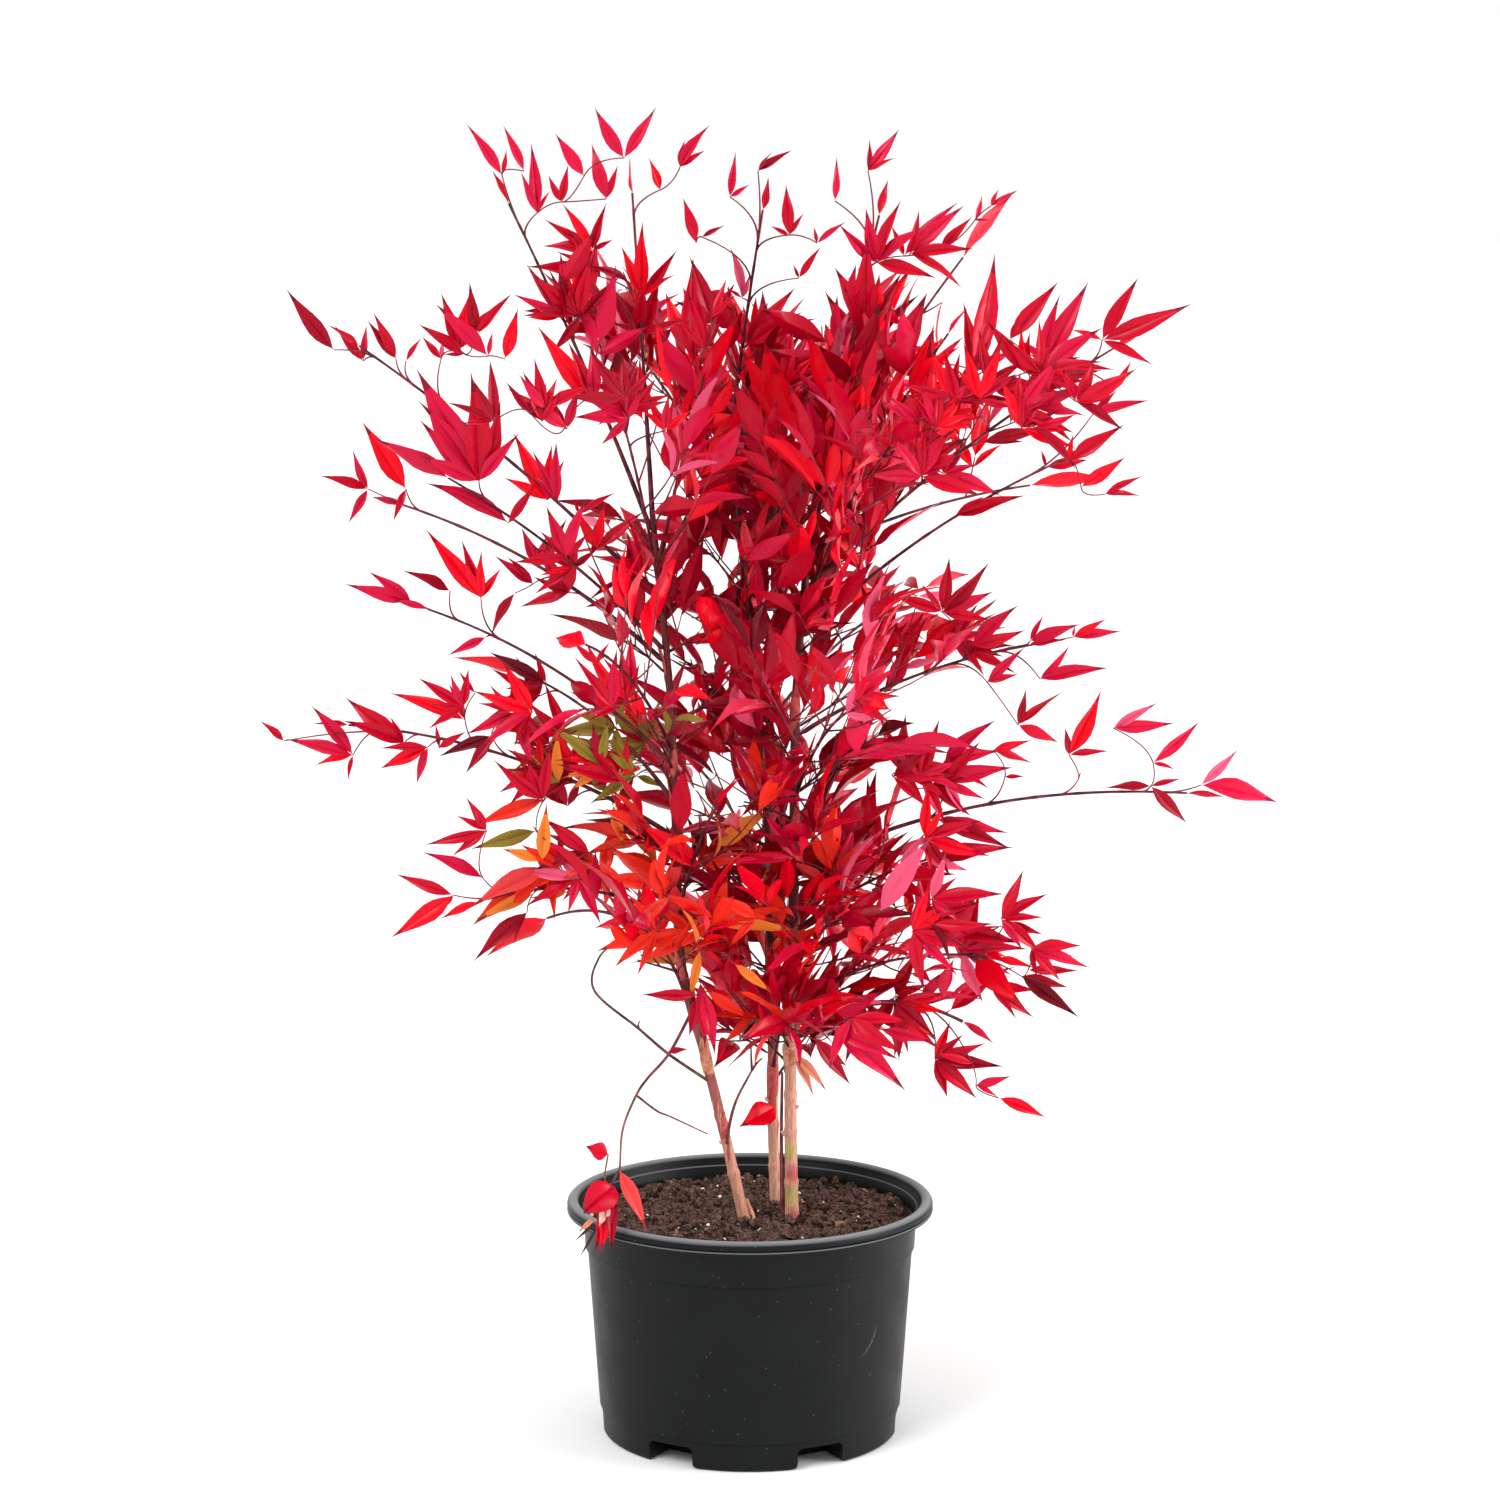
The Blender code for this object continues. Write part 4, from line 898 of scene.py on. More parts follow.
def polished_stem(name, pale, deep, roughness):
    """The smooth hard skin of young stalks, mottled along their run."""
    coat, tree = finish(name, Roughness=roughness, IOR=1.45, Specular_IOR_Level=0.3)
    place = add_node(tree, "TexCoord", give="Object")
    streak = add_node(tree, "TexNoise", {"Vector": place, "Scale": 1 / 0.012, "Detail": 3.0})
    tone = add_node(tree, "ValToRGB", {0: streak}, stops=[(0.38, deep), (0.66, pale)])
    fine = add_node(tree, "TexNoise", {"Vector": place, "Scale": 1 / 0.0010})
    bump = add_node(tree, "Bump", {"Strength": 0.3, "Distance": 0.0002, "Height": fine})
    return wired(coat, Base_Color=tone, Normal=bump)


grown = SPRAYS + inner_shoots(random.Random(83))
curves = [spray_curve(spray, cane_named[spray.cane]) for spray in grown]
lengths = [curve_length(curve) for curve in curves]
stalks = ([], [])
stalk_seed = random.Random(61)
for spray, curve, length in zip(grown, curves, lengths):
    pile(stalks, *taken(stalk_bark(spray, curve, length, stalk_seed)))
boughs = add_heap("arching_boughs", stalks)
dress(boughs, polished_stem("dark_red_stalk", "#742430", "#360B12", 0.45))
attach(boughs, "root")
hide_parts(*["bough_" + spray.name for spray in SPRAYS if spray.bare >= BOUGH_SHARE])


# Leaves
# The leaves are compound: side stalks leave the arch in pairs, and each carries pairs of leaflets and one
# at its end. A leaflet is leathery, folded along its midrib, widest below its middle and drawn out to a
# long dark tip. In winter they are red, from scarlet to wine, with some orange and olive low on the left.
# Wine and maroon deep in the clump are painted shade, and rose pink is partly painted sheen.
LEAF_THICKNESS = 0.00045
STATIONS = ((0.045, 0.10), (0.13, 0.50), (0.25, 0.88), (0.38, 1.00), (0.53, 0.84), (0.68, 0.54),
            (0.81, 0.27), (0.92, 0.09))
COLUMNS = ((-1.0, 0.0, 0.0), (-0.5, 0.17, 0.0), (0.0, 0.0, 0.0), (0.5, 0.17, 0.0), (1.0, 0.0, 0.0),
           (0.0, 0.0, 1.0))
TIP_FACES = 12
LEAF_TONES = {
    "scarlet": ("#E2001E", "#A00618"),
    "crimson": ("#BA0024", "#7E041A"),
    # Rose pink: the real pale pink of a few leaves, and dealt out at random elsewhere as painted sheen for
    # glints
    "cherry": ("#C60C38", "#860A28"),
    "rose": ("#DA4E70", "#A02A48"),
    "wine": ("#98001E", "#5C0414"),
    "maroon": ("#640416", "#3A040C"),
    "flame": ("#E02818", "#98160E"),
    "orange": ("#DE782C", "#A04418"),
    "olive": ("#877228", "#5A3A16"),
    "coral": ("#D63C3E", "#941C22"),
    "pale": ("#DDB2A6", "#B88478"),
    "dry": ("#DB8A6C", "#9A5440"),
    "withered": ("#4C3A36", "#2A201E"),
}
NEAR_TONES = {
    "scarlet": ("crimson", "cherry"), "crimson": ("scarlet", "cherry", "wine"),
    "cherry": ("crimson", "crimson", "crimson", "rose"), "rose": ("cherry", "scarlet"),
    "wine": ("crimson", "maroon"), "maroon": ("wine", "wine"), "flame": ("scarlet", "coral", "orange"),
    "orange": ("flame", "scarlet"), "olive": ("orange", "wine"), "coral": ("flame", "scarlet"),
}
# The small rose share here is partly painted sheen
OUTER_TONES = {"scarlet": 0.12, "crimson": 0.50, "cherry": 0.34, "rose": 0.02, "wine": 0.04}
ORANGE_SPOTS = ((-0.012, 0.385), (-0.170, 0.490), (-0.190, 0.445), (-0.110, 0.513))
PAIR_SPACING = 0.019
PINNA_ANGLE = radians(48.0)
UPWARD = 0.7
DROOP_HEIGHT = 0.45
OWN_TONE = 0.66
LONGEST_LEAF = 0.069
OUTWARD_LOSS = 0.046
TOP_LOSS = 0.012
TOP_HEIGHT = 0.95
LEAF_WIDTH = (0.22, 0.32)
ENDED_SIZE = 0.42
SIDE_STALK_RADIUS = 0.00085
FINER_STALK = 0.00025
SPRIG_RADIUS = 0.0010
CHAINED_RADIUS = 0.0006
SPRIG_TIP_RADIUS = 0.0005
THICKET_LEAF = (0.030, 0.062)
LIMB_CLEARANCE = 0.004
LOWEST_LEAF = 0.20
BOX_SLACK = 0.006
RAGGED_EDGE = 0.018
NEAR_REACH = 0.045
SEED = 40
CAMERA_DISTANCE = 3.2
CAMERA_HEIGHT = 1.023
CAMERA_PITCH = radians(8.14)
CAMERA_LENS = 96.05
SENSOR = 36.0
PHOTO_SIZE = 1500
FOCAL = PHOTO_SIZE * CAMERA_LENS / SENSOR
PIXEL = CAMERA_DISTANCE / FOCAL
# Places noted in the photo, as pixels across and down in its 1500 x 1500 frame. SKY, THICKETS and
# OPENINGS hold ellipses with their half widths and heights, and the last two a count. OUTLINE holds the
# crown's left and right edge at a height. SPRIGS holds the base and then the tips of each small outer spray.
SKY = (
    (785, 276, 63, 33), (640, 478, 39, 43), (700, 573, 24, 20), (939, 372, 20, 13), (960, 478, 45, 20),
    (930, 555, 50, 34), (560, 645, 60, 26), (665, 801, 23, 28), (899, 815, 30, 13), (640, 880, 14, 13),
    (936, 705, 33, 30), (718, 254, 30, 25), (1017, 482, 38, 25), (1015, 857, 38, 30),
)
OUTLINE = (
    (1091, 765, 880), (1050, 700, 899), (1020, 690, 930), (990, 665, 1054), (960, 639, 1045),
    (931, 610, 1010), (900, 600, 985), (870, 560, 935), (840, 560, 930), (810, 565, 904),
    (780, 540, 919), (750, 520, 980), (720, 529, 940), (690, 575, 950), (661, 620, 1005),
    (630, 600, 1015), (600, 545, 1000), (570, 561, 880), (540, 535, 885), (501, 560, 940),
    (481, 665, 945), (451, 655, 1010), (421, 640, 1074), (390, 600, 1085), (360, 586, 950),
    (330, 548, 960), (300, 540, 930), (281, 549, 915), (258, 560, 690), (235, 570, 640), (215, 590, 612),
)
THICKETS = (
    (561, 560, 40, 35, 5), (555, 501, 28, 16, 1), (565, 405, 34, 26, 3), (640, 410, 36, 30, 5),
    (490, 712, 34, 14, 2), (565, 715, 39, 33, 4), (565, 785, 36, 33, 3), (500, 850, 30, 26, 1),
    (570, 860, 34, 36, 5), (560, 335, 36, 30, 2), (640, 715, 34, 30, 5), (610, 300, 60, 30, 1),
    (905, 262, 30, 30, 2), (930, 405, 40, 30, 5), (1010, 385, 50, 18, 4), (930, 471, 34, 20, 3),
    (936, 775, 44, 23, 6), (925, 870, 34, 40, 3), (990, 945, 43, 30, 3), (930, 985, 40, 40, 1),
    (1010, 990, 36, 23, 1), (950, 630, 44, 24, 3), (641, 931, 26, 26, 1), (700, 330, 60, 40, 3),
    (800, 360, 60, 50, 5), (937, 931, 34, 34, 5), (870, 1005, 33, 26, 4),
    (1011, 412, 40, 26, 5), (1085, 410, 30, 18, 1), (489, 416, 30, 26, 1), (945, 1075, 40, 20, 1),
    (487, 354, 32, 18, 1), (622, 770, 26, 22, 4), (562, 790, 34, 28, 2), (935, 412, 34, 24, 2),
    (860, 715, 34, 30, 3),
)
OPENINGS = (
    (735, 690, 144, 150, 22), (850, 905, 106, 50, 3), (639, 640, 34, 34, 7), (715, 790, 33, 30, 7),
    (860, 705, 30, 23, 6), (600, 560, 40, 30, 4), (700, 560, 60, 35, 4), (930, 250, 30, 30, 3),
    (640, 410, 34, 28, 3), (650, 255, 50, 34, 6), (561, 931, 30, 24, 4), (562, 938, 36, 34, 12),
    (937, 712, 34, 30, 5), (562, 562, 36, 34, 3), (640, 490, 34, 30, 4), (712, 788, 36, 34, 5),
    (1000, 862, 30, 30, 5), (1012, 1012, 34, 30, 4), (937, 790, 34, 34, 5), (937, 487, 34, 30, 4),
    (937, 1010, 34, 30, 3),
)
SPRIGS = {
    "": (
        ((502, 175), (466, 123), (507, 149)), ((524, 171), (501, 126)),
        ((537, 213), (520, 171), (534, 142), (550, 190)), ((562, 202), (548, 175), (568, 164)),
        ((584, 176), (554, 134)), ((624, 158), (594, 108), (658, 108)),
        ((606, 199), (593, 142), (619, 165)),
        ((592, 250), (562, 203), (606, 202), (613, 239), (541, 246), (543, 221)),
        ((660, 190), (650, 157)), ((680, 167), (685, 139), (709, 123), (706, 151)),
        ((601, 277), (555, 250), (566, 227), (525, 264)),
        ((643, 297), (640, 221), (676, 248), (676, 274), (621, 245)), ((694, 363), (688, 256)),
        ((696, 243), (684, 197)), ((560, 317), (525, 264), (513, 293), (527, 319)),
        ((334, 350), (283, 291)), ((363, 361), (334, 325), (365, 324)),
        ((396, 359), (367, 320), (375, 310)), ((406, 361), (422, 336)),
        ((441, 359), (422, 336), (442, 340)), ((464, 354), (417, 326), (442, 355)),
        ((475, 334), (468, 281)), ((488, 356), (433, 305), (492, 331)), ((477, 334), (512, 292)),
        ((505, 359), (516, 307)),
        ((479, 481), (420, 365), (468, 370), (418, 397), (416, 422), (420, 454), (502, 398), (520, 431),
         (451, 414)),
        ((531, 414), (504, 382)), ((565, 427), (537, 392)), ((626, 437), (618, 370)),
        ((593, 402), (540, 322), (592, 340), (567, 340)),
        ((368, 489), (319, 473), (352, 448), (349, 524)), ((406, 489), (359, 423), (393, 522)),
        ((508, 523), (425, 479), (538, 483)), ((558, 501), (531, 451), (555, 441), (530, 474)),
        ((580, 514), (616, 491), (573, 498)), ((730, 197), (736, 151), (750, 184)),
        ((758, 171), (792, 149), (773, 152)), ((702, 237), (725, 225)),
        ((789, 235), (787, 184), (804, 213), (770, 226)), ((835, 201), (835, 157)),
        ((868, 171), (869, 139), (901, 130), (895, 157)), ((817, 243), (846, 221), (814, 226)),
        ((799, 278), (821, 246), (793, 263)), ((742, 298), (730, 246), (751, 274), (725, 288)),
        ((975, 220), (982, 195), (990, 220)), ((991, 206), (999, 189), (1018, 190)),
        ((940, 249), (972, 216), (955, 245)), ((904, 256), (958, 201), (891, 225)),
        ((866, 331), (866, 236), (837, 265), (905, 272), (843, 282)),
        ((1010, 340), (1060, 282), (1025, 311)), ((1044, 361), (1091, 282), (1061, 292), (1019, 340)),
        ((1102, 340), (1138, 276), (1194, 306), (1155, 365), (1070, 329)),
        ((1051, 366), (1116, 370), (1074, 356)), ((1025, 383), (1071, 418), (1104, 373), (1078, 360)),
        ((1093, 414), (1117, 389), (1150, 402)), ((1115, 390), (1133, 361)),
        ((1069, 461), (1072, 433), (1126, 426)), ((1046, 467), (1040, 449), (1089, 459)),
        ((1081, 487), (1127, 458)), ((1105, 494), (1144, 476), (1142, 497)),
        ((955, 516), (986, 496), (1027, 498)), ((939, 482), (963, 476)),
        ((983, 442), (1025, 442), (1048, 429)), ((411, 601), (344, 583), (369, 569)),
        ((481, 598), (423, 529), (462, 538), (483, 549), (450, 567), (501, 567)),
        ((450, 591), (402, 570)), ((533, 584), (493, 557), (506, 555)), ((515, 593), (490, 636)),
        ((486, 637), (448, 657)), ((546, 683), (487, 653), (533, 652), (504, 688)),
        ((596, 664), (571, 641), (610, 641)), ((475, 693), (459, 670)),
        ((465, 720), (390, 690), (450, 682)), ((404, 743), (344, 698), (342, 718), (389, 716)),
        ((353, 755), (309, 706), (284, 741), (314, 765), (347, 782)), ((284, 741), (259, 720)),
        ((428, 747), (379, 748), (417, 785), (379, 768)), ((439, 748), (436, 723), (466, 730)),
        ((492, 736), (465, 774), (437, 755), (522, 715)),
        ((545, 799), (515, 752), (521, 766), (545, 758), (472, 824)), ((483, 878), (422, 849)),
        ((453, 895), (395, 875), (391, 939), (448, 906)),
        ((548, 868), (466, 908), (468, 923), (554, 922)), ((527, 912), (472, 961), (513, 944)),
        ((1073, 637), (1075, 625), (1107, 619), (1122, 630)), ((1030, 641), (1044, 615), (1080, 622)),
        ((1040, 679), (1069, 643), (1110, 667)), ((987, 682), (1026, 647), (1019, 673)),
        ((972, 645), (1018, 603), (1027, 632)), ((1018, 725), (1028, 688), (1064, 693), (1060, 741)),
        ((1069, 755), (1104, 690), (1110, 752), (1065, 727)), ((1113, 728), (1158, 702), (1176, 725)),
        ((1153, 763), (1201, 721), (1176, 769)), ((1151, 786), (1186, 825), (1104, 787), (1182, 779)),
        ((1201, 785), (1239, 749), (1279, 803)), ((1078, 780), (1082, 771)),
        ((938, 820), (1009, 836), (1010, 849), (962, 818)), ((931, 838), (977, 852)),
        ((1005, 777), (1025, 776)), ((993, 750), (1032, 739), (1032, 765)), ((1028, 970), (1080, 970)),
        ((1034, 954), (1074, 957)), ((1021, 976), (1081, 1017), (1069, 989)), ((1005, 923), (1044, 935)),
        ((972, 1064), (932, 1052)), ((976, 1085), (1012, 1077), (999, 1097)),
        ((999, 1098), (1047, 1117)), ((698, 995), (641, 996), (690, 1037)),
        ((814, 1039), (849, 1088), (847, 1068)), ((880, 1029), (935, 1040)),
    ),
    "orange": (
        ((542, 861), (549, 802), (502, 847)), ((533, 894), (474, 918)), ((613, 805), (622, 849)),
        ((735, 964), (772, 995)), ((700, 950), (690, 1001)),
    ),
    "olive": (
        ((536, 831), (469, 846)), ((607, 791), (580, 755), (581, 776), (628, 774)),
        ((636, 776), (666, 788), (610, 753)),
    ),
    "rose": (
        ((880, 912), (931, 832)), ((925, 859), (969, 870)), ((899, 865), (928, 832)),
    ),
    "cherry": (
        ((703, 992), (716, 1057)), ((700, 982), (706, 1050)), ((787, 1022), (836, 990), (798, 1053)),
        ((833, 1029), (909, 1088), (863, 1052), (902, 1059)), ((798, 860), (719, 864), (762, 807)),
        ((837, 882), (855, 821), (887, 850)),
    ),
    "flame": (
        ((756, 1015), (723, 1046), (751, 1040)), ((707, 991), (751, 1021)),
        ((669, 886), (592, 875), (608, 850)), ((692, 932), (612, 952), (638, 961), (655, 904)),
        ((714, 918), (655, 893), (673, 950)), ((756, 918), (712, 893), (727, 949)),
    ),
    "wine": (((896, 1003), (937, 1040)),),
    "crimson": (((973, 370), (994, 251), (965, 301), (1015, 350), (993, 298)),),
    "scarlet": (((697, 868), (633, 821), (669, 826)), ((780, 904), (736, 886), (715, 821), (802, 979))),
}
Sprig = namedtuple("Sprig", "x z tips tone")
Leaf = namedtuple("Leaf", "root along face shape tone")
Perch = namedtuple("Perch", "point along number share")


def blade_faces():
    """Faces of a leaflet, the same for all: the root's fan, the spans between rings and the tip's fan."""
    around = [(k, (k + 1) % 6) for k in range(6)]
    last = 1 + 6 * (len(STATIONS) - 1)
    faces = [(0, 1 + b, 1 + a) for a, b in around]
    for ring in range(1, last, 6):
        faces += [(ring + a, ring + b, ring + b + 6, ring + a + 6) for a, b in around]
    return faces + [(last + a, last + b, last + 6) for a, b in around]


BLADE_FACES = blade_faces()
ALONG, HALF = np.array([(0.0, 0.0)] + [station for station in STATIONS for _ in COLUMNS] + [(1.0, 0.0)]).T
ACROSS, CROWN, UNDER = np.array([(0.0,) * 3] + list(COLUMNS) * len(STATIONS) + [(0.0,) * 3]).T


def blade_points(leaves):
    """Points of many leaflets at once, from their length, width, bend, fold, twist, sweep and wave."""
    length, width, bend, fold, twist, sweep, wave = np.array([leaf.shape for leaf in leaves]).T[:, :, None]
    half = width / 2 * HALF
    edge = 0.14 * np.abs(ACROSS) * half * np.sin(9 * ALONG + wave + ACROSS)
    rise = (np.abs(ACROSS) * np.sin(fold) + CROWN) * half + edge
    rise = rise - UNDER * LEAF_THICKNESS / length * (1.3 - ALONG)
    side = ACROSS * half * np.cos(fold)
    turn = twist * (ALONG - 0.3)
    side, rise = side * np.cos(turn) - rise * np.sin(turn), side * np.sin(turn) + rise * np.cos(turn)
    sag = bend * (ALONG - 0.5)
    onward = (np.sin(sag) + np.sin(bend / 2)) / bend + rise * np.sin(sag)
    upward = (np.cos(sag) - np.cos(bend / 2)) / bend + rise * np.cos(sag)
    places = np.stack([onward, side + sweep * ALONG ** 2, upward], axis=-1)
    axes = np.array([[leaf.along, leaf.along.cross(leaf.face), leaf.face] for leaf in leaves])
    roots = np.array([leaf.root for leaf in leaves])[:, None]
    return (roots + (places * length[..., None]) @ axes).reshape(-1, 3)


def leather(name, tone):
    """A leathery leaf in one plain tone: smooth and half glossy, with a fine quilting between its veins."""
    coat, tree = finish(name, Base_Color=linear(tone), IOR=1.42, Specular_IOR_Level=0.19)
    place = add_node(tree, "TexCoord", give="Object")
    cloud = add_node(tree, "TexNoise", {"Vector": place, "Scale": 1 / 0.010})
    rough = add_node(tree, "MapRange", {0: cloud, 1: 0.3, 2: 0.7, 3: 0.20, 4: 0.38})
    quilt = add_node(tree, "TexNoise", {"Vector": place, "Scale": 1 / 0.0025, "Detail": 2.0})
    bump = add_node(tree, "Bump", {"Strength": 0.22, "Distance": 0.0003, "Height": quilt})
    return wired(coat, Roughness=rough, Normal=bump)


def add_leaves(name, leaves, coats):
    """Join leaflets into one object, with their dark tips in the second coat."""
    count = len(BLADE_FACES)
    size = len(ALONG)
    faces = [tuple(corner + size * i for corner in face) for i in range(len(leaves)) for face in BLADE_FACES]
    mesh = bpy.data.meshes.new(name)
    mesh.from_pydata(blade_points(leaves), [], faces)
    number = np.arange(len(faces)) % count
    mesh.polygons.foreach_set("material_index", (number >= count - TIP_FACES).astype(np.int32))
    piece = add_thing(name, mesh)
    dress(piece, coats[0], CRUMB_CREASE)
    mesh.materials.append(coats[1])
    return piece


def in_ellipse(x, z, wide, high, rng):
    """A place anywhere in an ellipse on the upright plane."""
    turn = rng.uniform(0, 2 * pi)
    reach = rng.random() ** 0.5
    return x + wide * reach * cos(turn), z + high * reach * sin(turn)


def on_photo(across, down):
    """Where a pixel of the photo falls on the upright plane through the pot's axis."""
    z = CAMERA_HEIGHT - CAMERA_DISTANCE * tan(CAMERA_PITCH + atan((down - PHOTO_SIZE / 2) / FOCAL))
    depth = CAMERA_DISTANCE * cos(CAMERA_PITCH) + (CAMERA_HEIGHT - z) * sin(CAMERA_PITCH)
    return (across - PHOTO_SIZE / 2) / FOCAL * depth, z


def patch(across, down, wide, high):
    """An ellipse of the photo on the same plane: its middle and its half width and height."""
    return (*on_photo(across, down), wide * PIXEL, high * PIXEL)


sky = [patch(*row) for row in SKY]
crown_edge = np.array([(*reversed(on_photo(left, down)), on_photo(right, down)[0])
                       for down, left, right in OUTLINE]).T
open_seed = random.Random(17)
openings = np.array([(*in_ellipse(*patch(*area), open_seed), open_seed.uniform(0.006, 0.011))
                     for *area, count in OPENINGS for _ in range(count)])
cane_lines = np.array([[*cane_at(cane, height)[0], cane_radius(cane, height)]
                       for cane in CANES for height in np.linspace(0.18, cane.route[-1][2], 130)])


def seen(point):
    """Where a point shows on the upright plane through the pot's axis, from the camera's place."""
    share = CAMERA_DISTANCE / (CAMERA_DISTANCE + point.y)
    return point.x * share, CAMERA_HEIGHT + (point.z - CAMERA_HEIGHT) * share


def shows_sky(point, rng):
    """Whether a point stands in one of the gaps where the photo shows sky, with a ragged edge."""
    x, z = seen(point)
    heights, left, right = crown_edge
    ragged = rng.uniform(-RAGGED_EDGE, RAGGED_EDGE)
    if z < heights[0] or z > heights[-1] or not (
            np.interp(z, heights, left) + ragged < x < np.interp(z, heights, right) - ragged):
        return True
    return any(((x - middle_x) / wide) ** 2 + ((z - middle_z) / high) ** 2 < rng.uniform(0.6, 1.2)
               for middle_x, middle_z, wide, high in sky)


def shuts_opening(root, along, length):
    """Whether a leaflet would close one of the small openings that let the sky through the crown."""
    for share in (0.2, 0.5, 0.8):
        x, z = seen(root + along * (share * length))
        if (np.hypot(openings[:, 0] - x, openings[:, 1] - z) < openings[:, 2]).any():
            return True
    return False


def is_clear(root, way, length):
    """Whether a leaflet keeps clear of the canes, the pot and the compost, and within the plant's reach."""
    for share in (0.45, 0.75, 1.0):
        point = root + way * (length * share)
        off = np.linalg.norm(cane_lines[:, :3] - np.array(point), axis=1) - cane_lines[:, 3]
        if off.min() < LIMB_CLEARANCE or point.z < LOWEST_LEAF:
            return False
        if any(point[i] < cad_low[i] - BOX_SLACK or point[i] > cad_high[i] + BOX_SLACK for i in range(3)):
            return False
    return True


def put_leaf(leaves, root, along, face, length, tone, rng):
    """Add a leaflet, or turn it aside where it would touch a limb. It is left out where no turn is clear."""
    along = along.normalized()
    face = face - along * face.dot(along)
    face = (face if face.length > 0.05 else along.orthogonal()).normalized()
    shape = (length, rng.uniform(*LEAF_WIDTH), rng.uniform(0.1, 0.9), radians(rng.uniform(8, 34)),
             rng.uniform(-0.6, 0.6), rng.uniform(-0.10, 0.10), rng.uniform(0, 2 * pi))
    if shows_sky(root + along * (0.75 * length), rng) or shuts_opening(root, along, length):
        return
    for turn in (0, 18, -18, 36, -36):
        way = Matrix.Rotation(radians(turn), 3, face) @ along
        if is_clear(root, way, length):
            leaves.append(Leaf(root, way, face, shape, tone))
            return


def spot_share(x, z, centre_x, centre_z, wide, high):
    """How near a place is to the middle of a coloured spot, from 0 to 1."""
    return exp(-((x - centre_x) / wide) ** 2 - ((z - centre_z) / high) ** 2)


def tone_of(place, rng, plain=None):
    """The tone of a side stalk by its place: flame, orange and olive low on the left, and deeper red inside
    as painted shade.
    """
    x, z = seen(place)
    front = place.y < 0.04
    inner = exp(-(place.x ** 2 + place.y ** 2) / 0.009)
    heart = spot_share(x, z, 0.0, 0.74, 0.19, 0.17) * (place.y < 0.10)
    low = z < 0.42
    # Painted light and shade: wine and maroon deep inside the clump stand for its shade, and more scarlet at
    # the front of its heart for its light. Low down there is more scarlet and less wine.
    shares = dict(plain or {
        "scarlet": 0.18 + 0.34 * heart + 0.25 * low, "crimson": 0.40, "cherry": 0.24 + 0.14 * (x > 0.08),
        # The rose share is partly painted sheen, standing in for glints on glossy leaves
        "rose": 0.035, "wine": (0.05 + 0.22 * inner) * (0.4 if low else 1.0),
        "maroon": 0.15 * inner * (place.y > -0.06) * (z > 0.45)})
    shares["flame"] = front * (2.0 * spot_share(x, z, -0.075, 0.450, 0.075, 0.060)
                               + 0.6 * spot_share(x, z, 0.0, 0.375, 0.050, 0.030))
    shares["orange"] = 0.35 * front * max(spot_share(x, z, *spot, 0.020, 0.020) for spot in ORANGE_SPOTS)
    shares["olive"] = 2.6 * front * spot_share(x, z, -0.105, 0.553, 0.042, 0.030)
    return rng.choices(list(shares), list(shares.values()))[0]


def near_tone(tone, rng):
    """The tone of one leaflet in a spray: mostly the spray's own, sometimes a neighbour's."""
    return tone if rng.random() < OWN_TONE else rng.choice(NEAR_TONES[tone])


def put_stalk(twigs, leaves, root, way, normal, length, size, tone, rng, depth=0):
    """Add a side stalk that curves upwards, its pairs of leaflets and the leaflet at its end."""
    rise = Vector((0, 0, 1)) * rng.uniform(0.05, 0.30)
    shares = (0, 0.25, 0.5, 0.75, 1)
    route = [root + way * (length * t) + rise * (length * t * t) for t in shares]
    if shows_sky(route[-1], rng):
        return
    thick = SIDE_STALK_RADIUS - FINER_STALK * depth
    pile(twigs, *tube(route, [thick * (1 - 0.35 * t) for t in shares], 5))
    out = (route[-1] - route[-2]).normalized()
    face = normal * (1 if normal.z > 0 else -1) + Vector((rng.gauss(0, 0.35), rng.gauss(0, 0.35), 0.3))
    put_leaf(leaves, route[-1], out, face, size * rng.uniform(0.95, 1.2), near_tone(tone, rng), rng)
    pairs = int((length - 0.004) / PAIR_SPACING) + (length > 0.012)
    for i in range(pairs):
        share = 1 - (i + 0.35) * PAIR_SPACING / length
        if share < 0.15:
            break
        place = root + way * (length * share) + rise * (length * share * share)
        for hand in (-1, 1):
            turn = radians(hand * rng.uniform(28, 56))
            along = Matrix.Rotation(turn, 3, normal) @ out + Vector((0, 0, rng.uniform(-0.15, 0.35)))
            if depth == 0 and length > 0.050 and i == pairs - 1:
                put_stalk(twigs, leaves, place, along.normalized(), normal, length * 0.38, size * 0.9,
                          tone, rng, 1)
            elif rng.random() < 0.9:
                put_leaf(leaves, place, along, face + Vector((rng.gauss(0, 0.3), rng.gauss(0, 0.3), 0)),
                         size * rng.uniform(0.68, 1.02), near_tone(tone, rng), rng)


def leaf_size(place, rng):
    """Length of the leaflets on a side stalk: long in the middle of the clump, small at its top and ends."""
    out = min(place.xy.length, 0.4)
    length = LONGEST_LEAF - OUTWARD_LOSS * out - TOP_LOSS * (place.z > TOP_HEIGHT)
    return length * rng.uniform(0.76, 1.16)


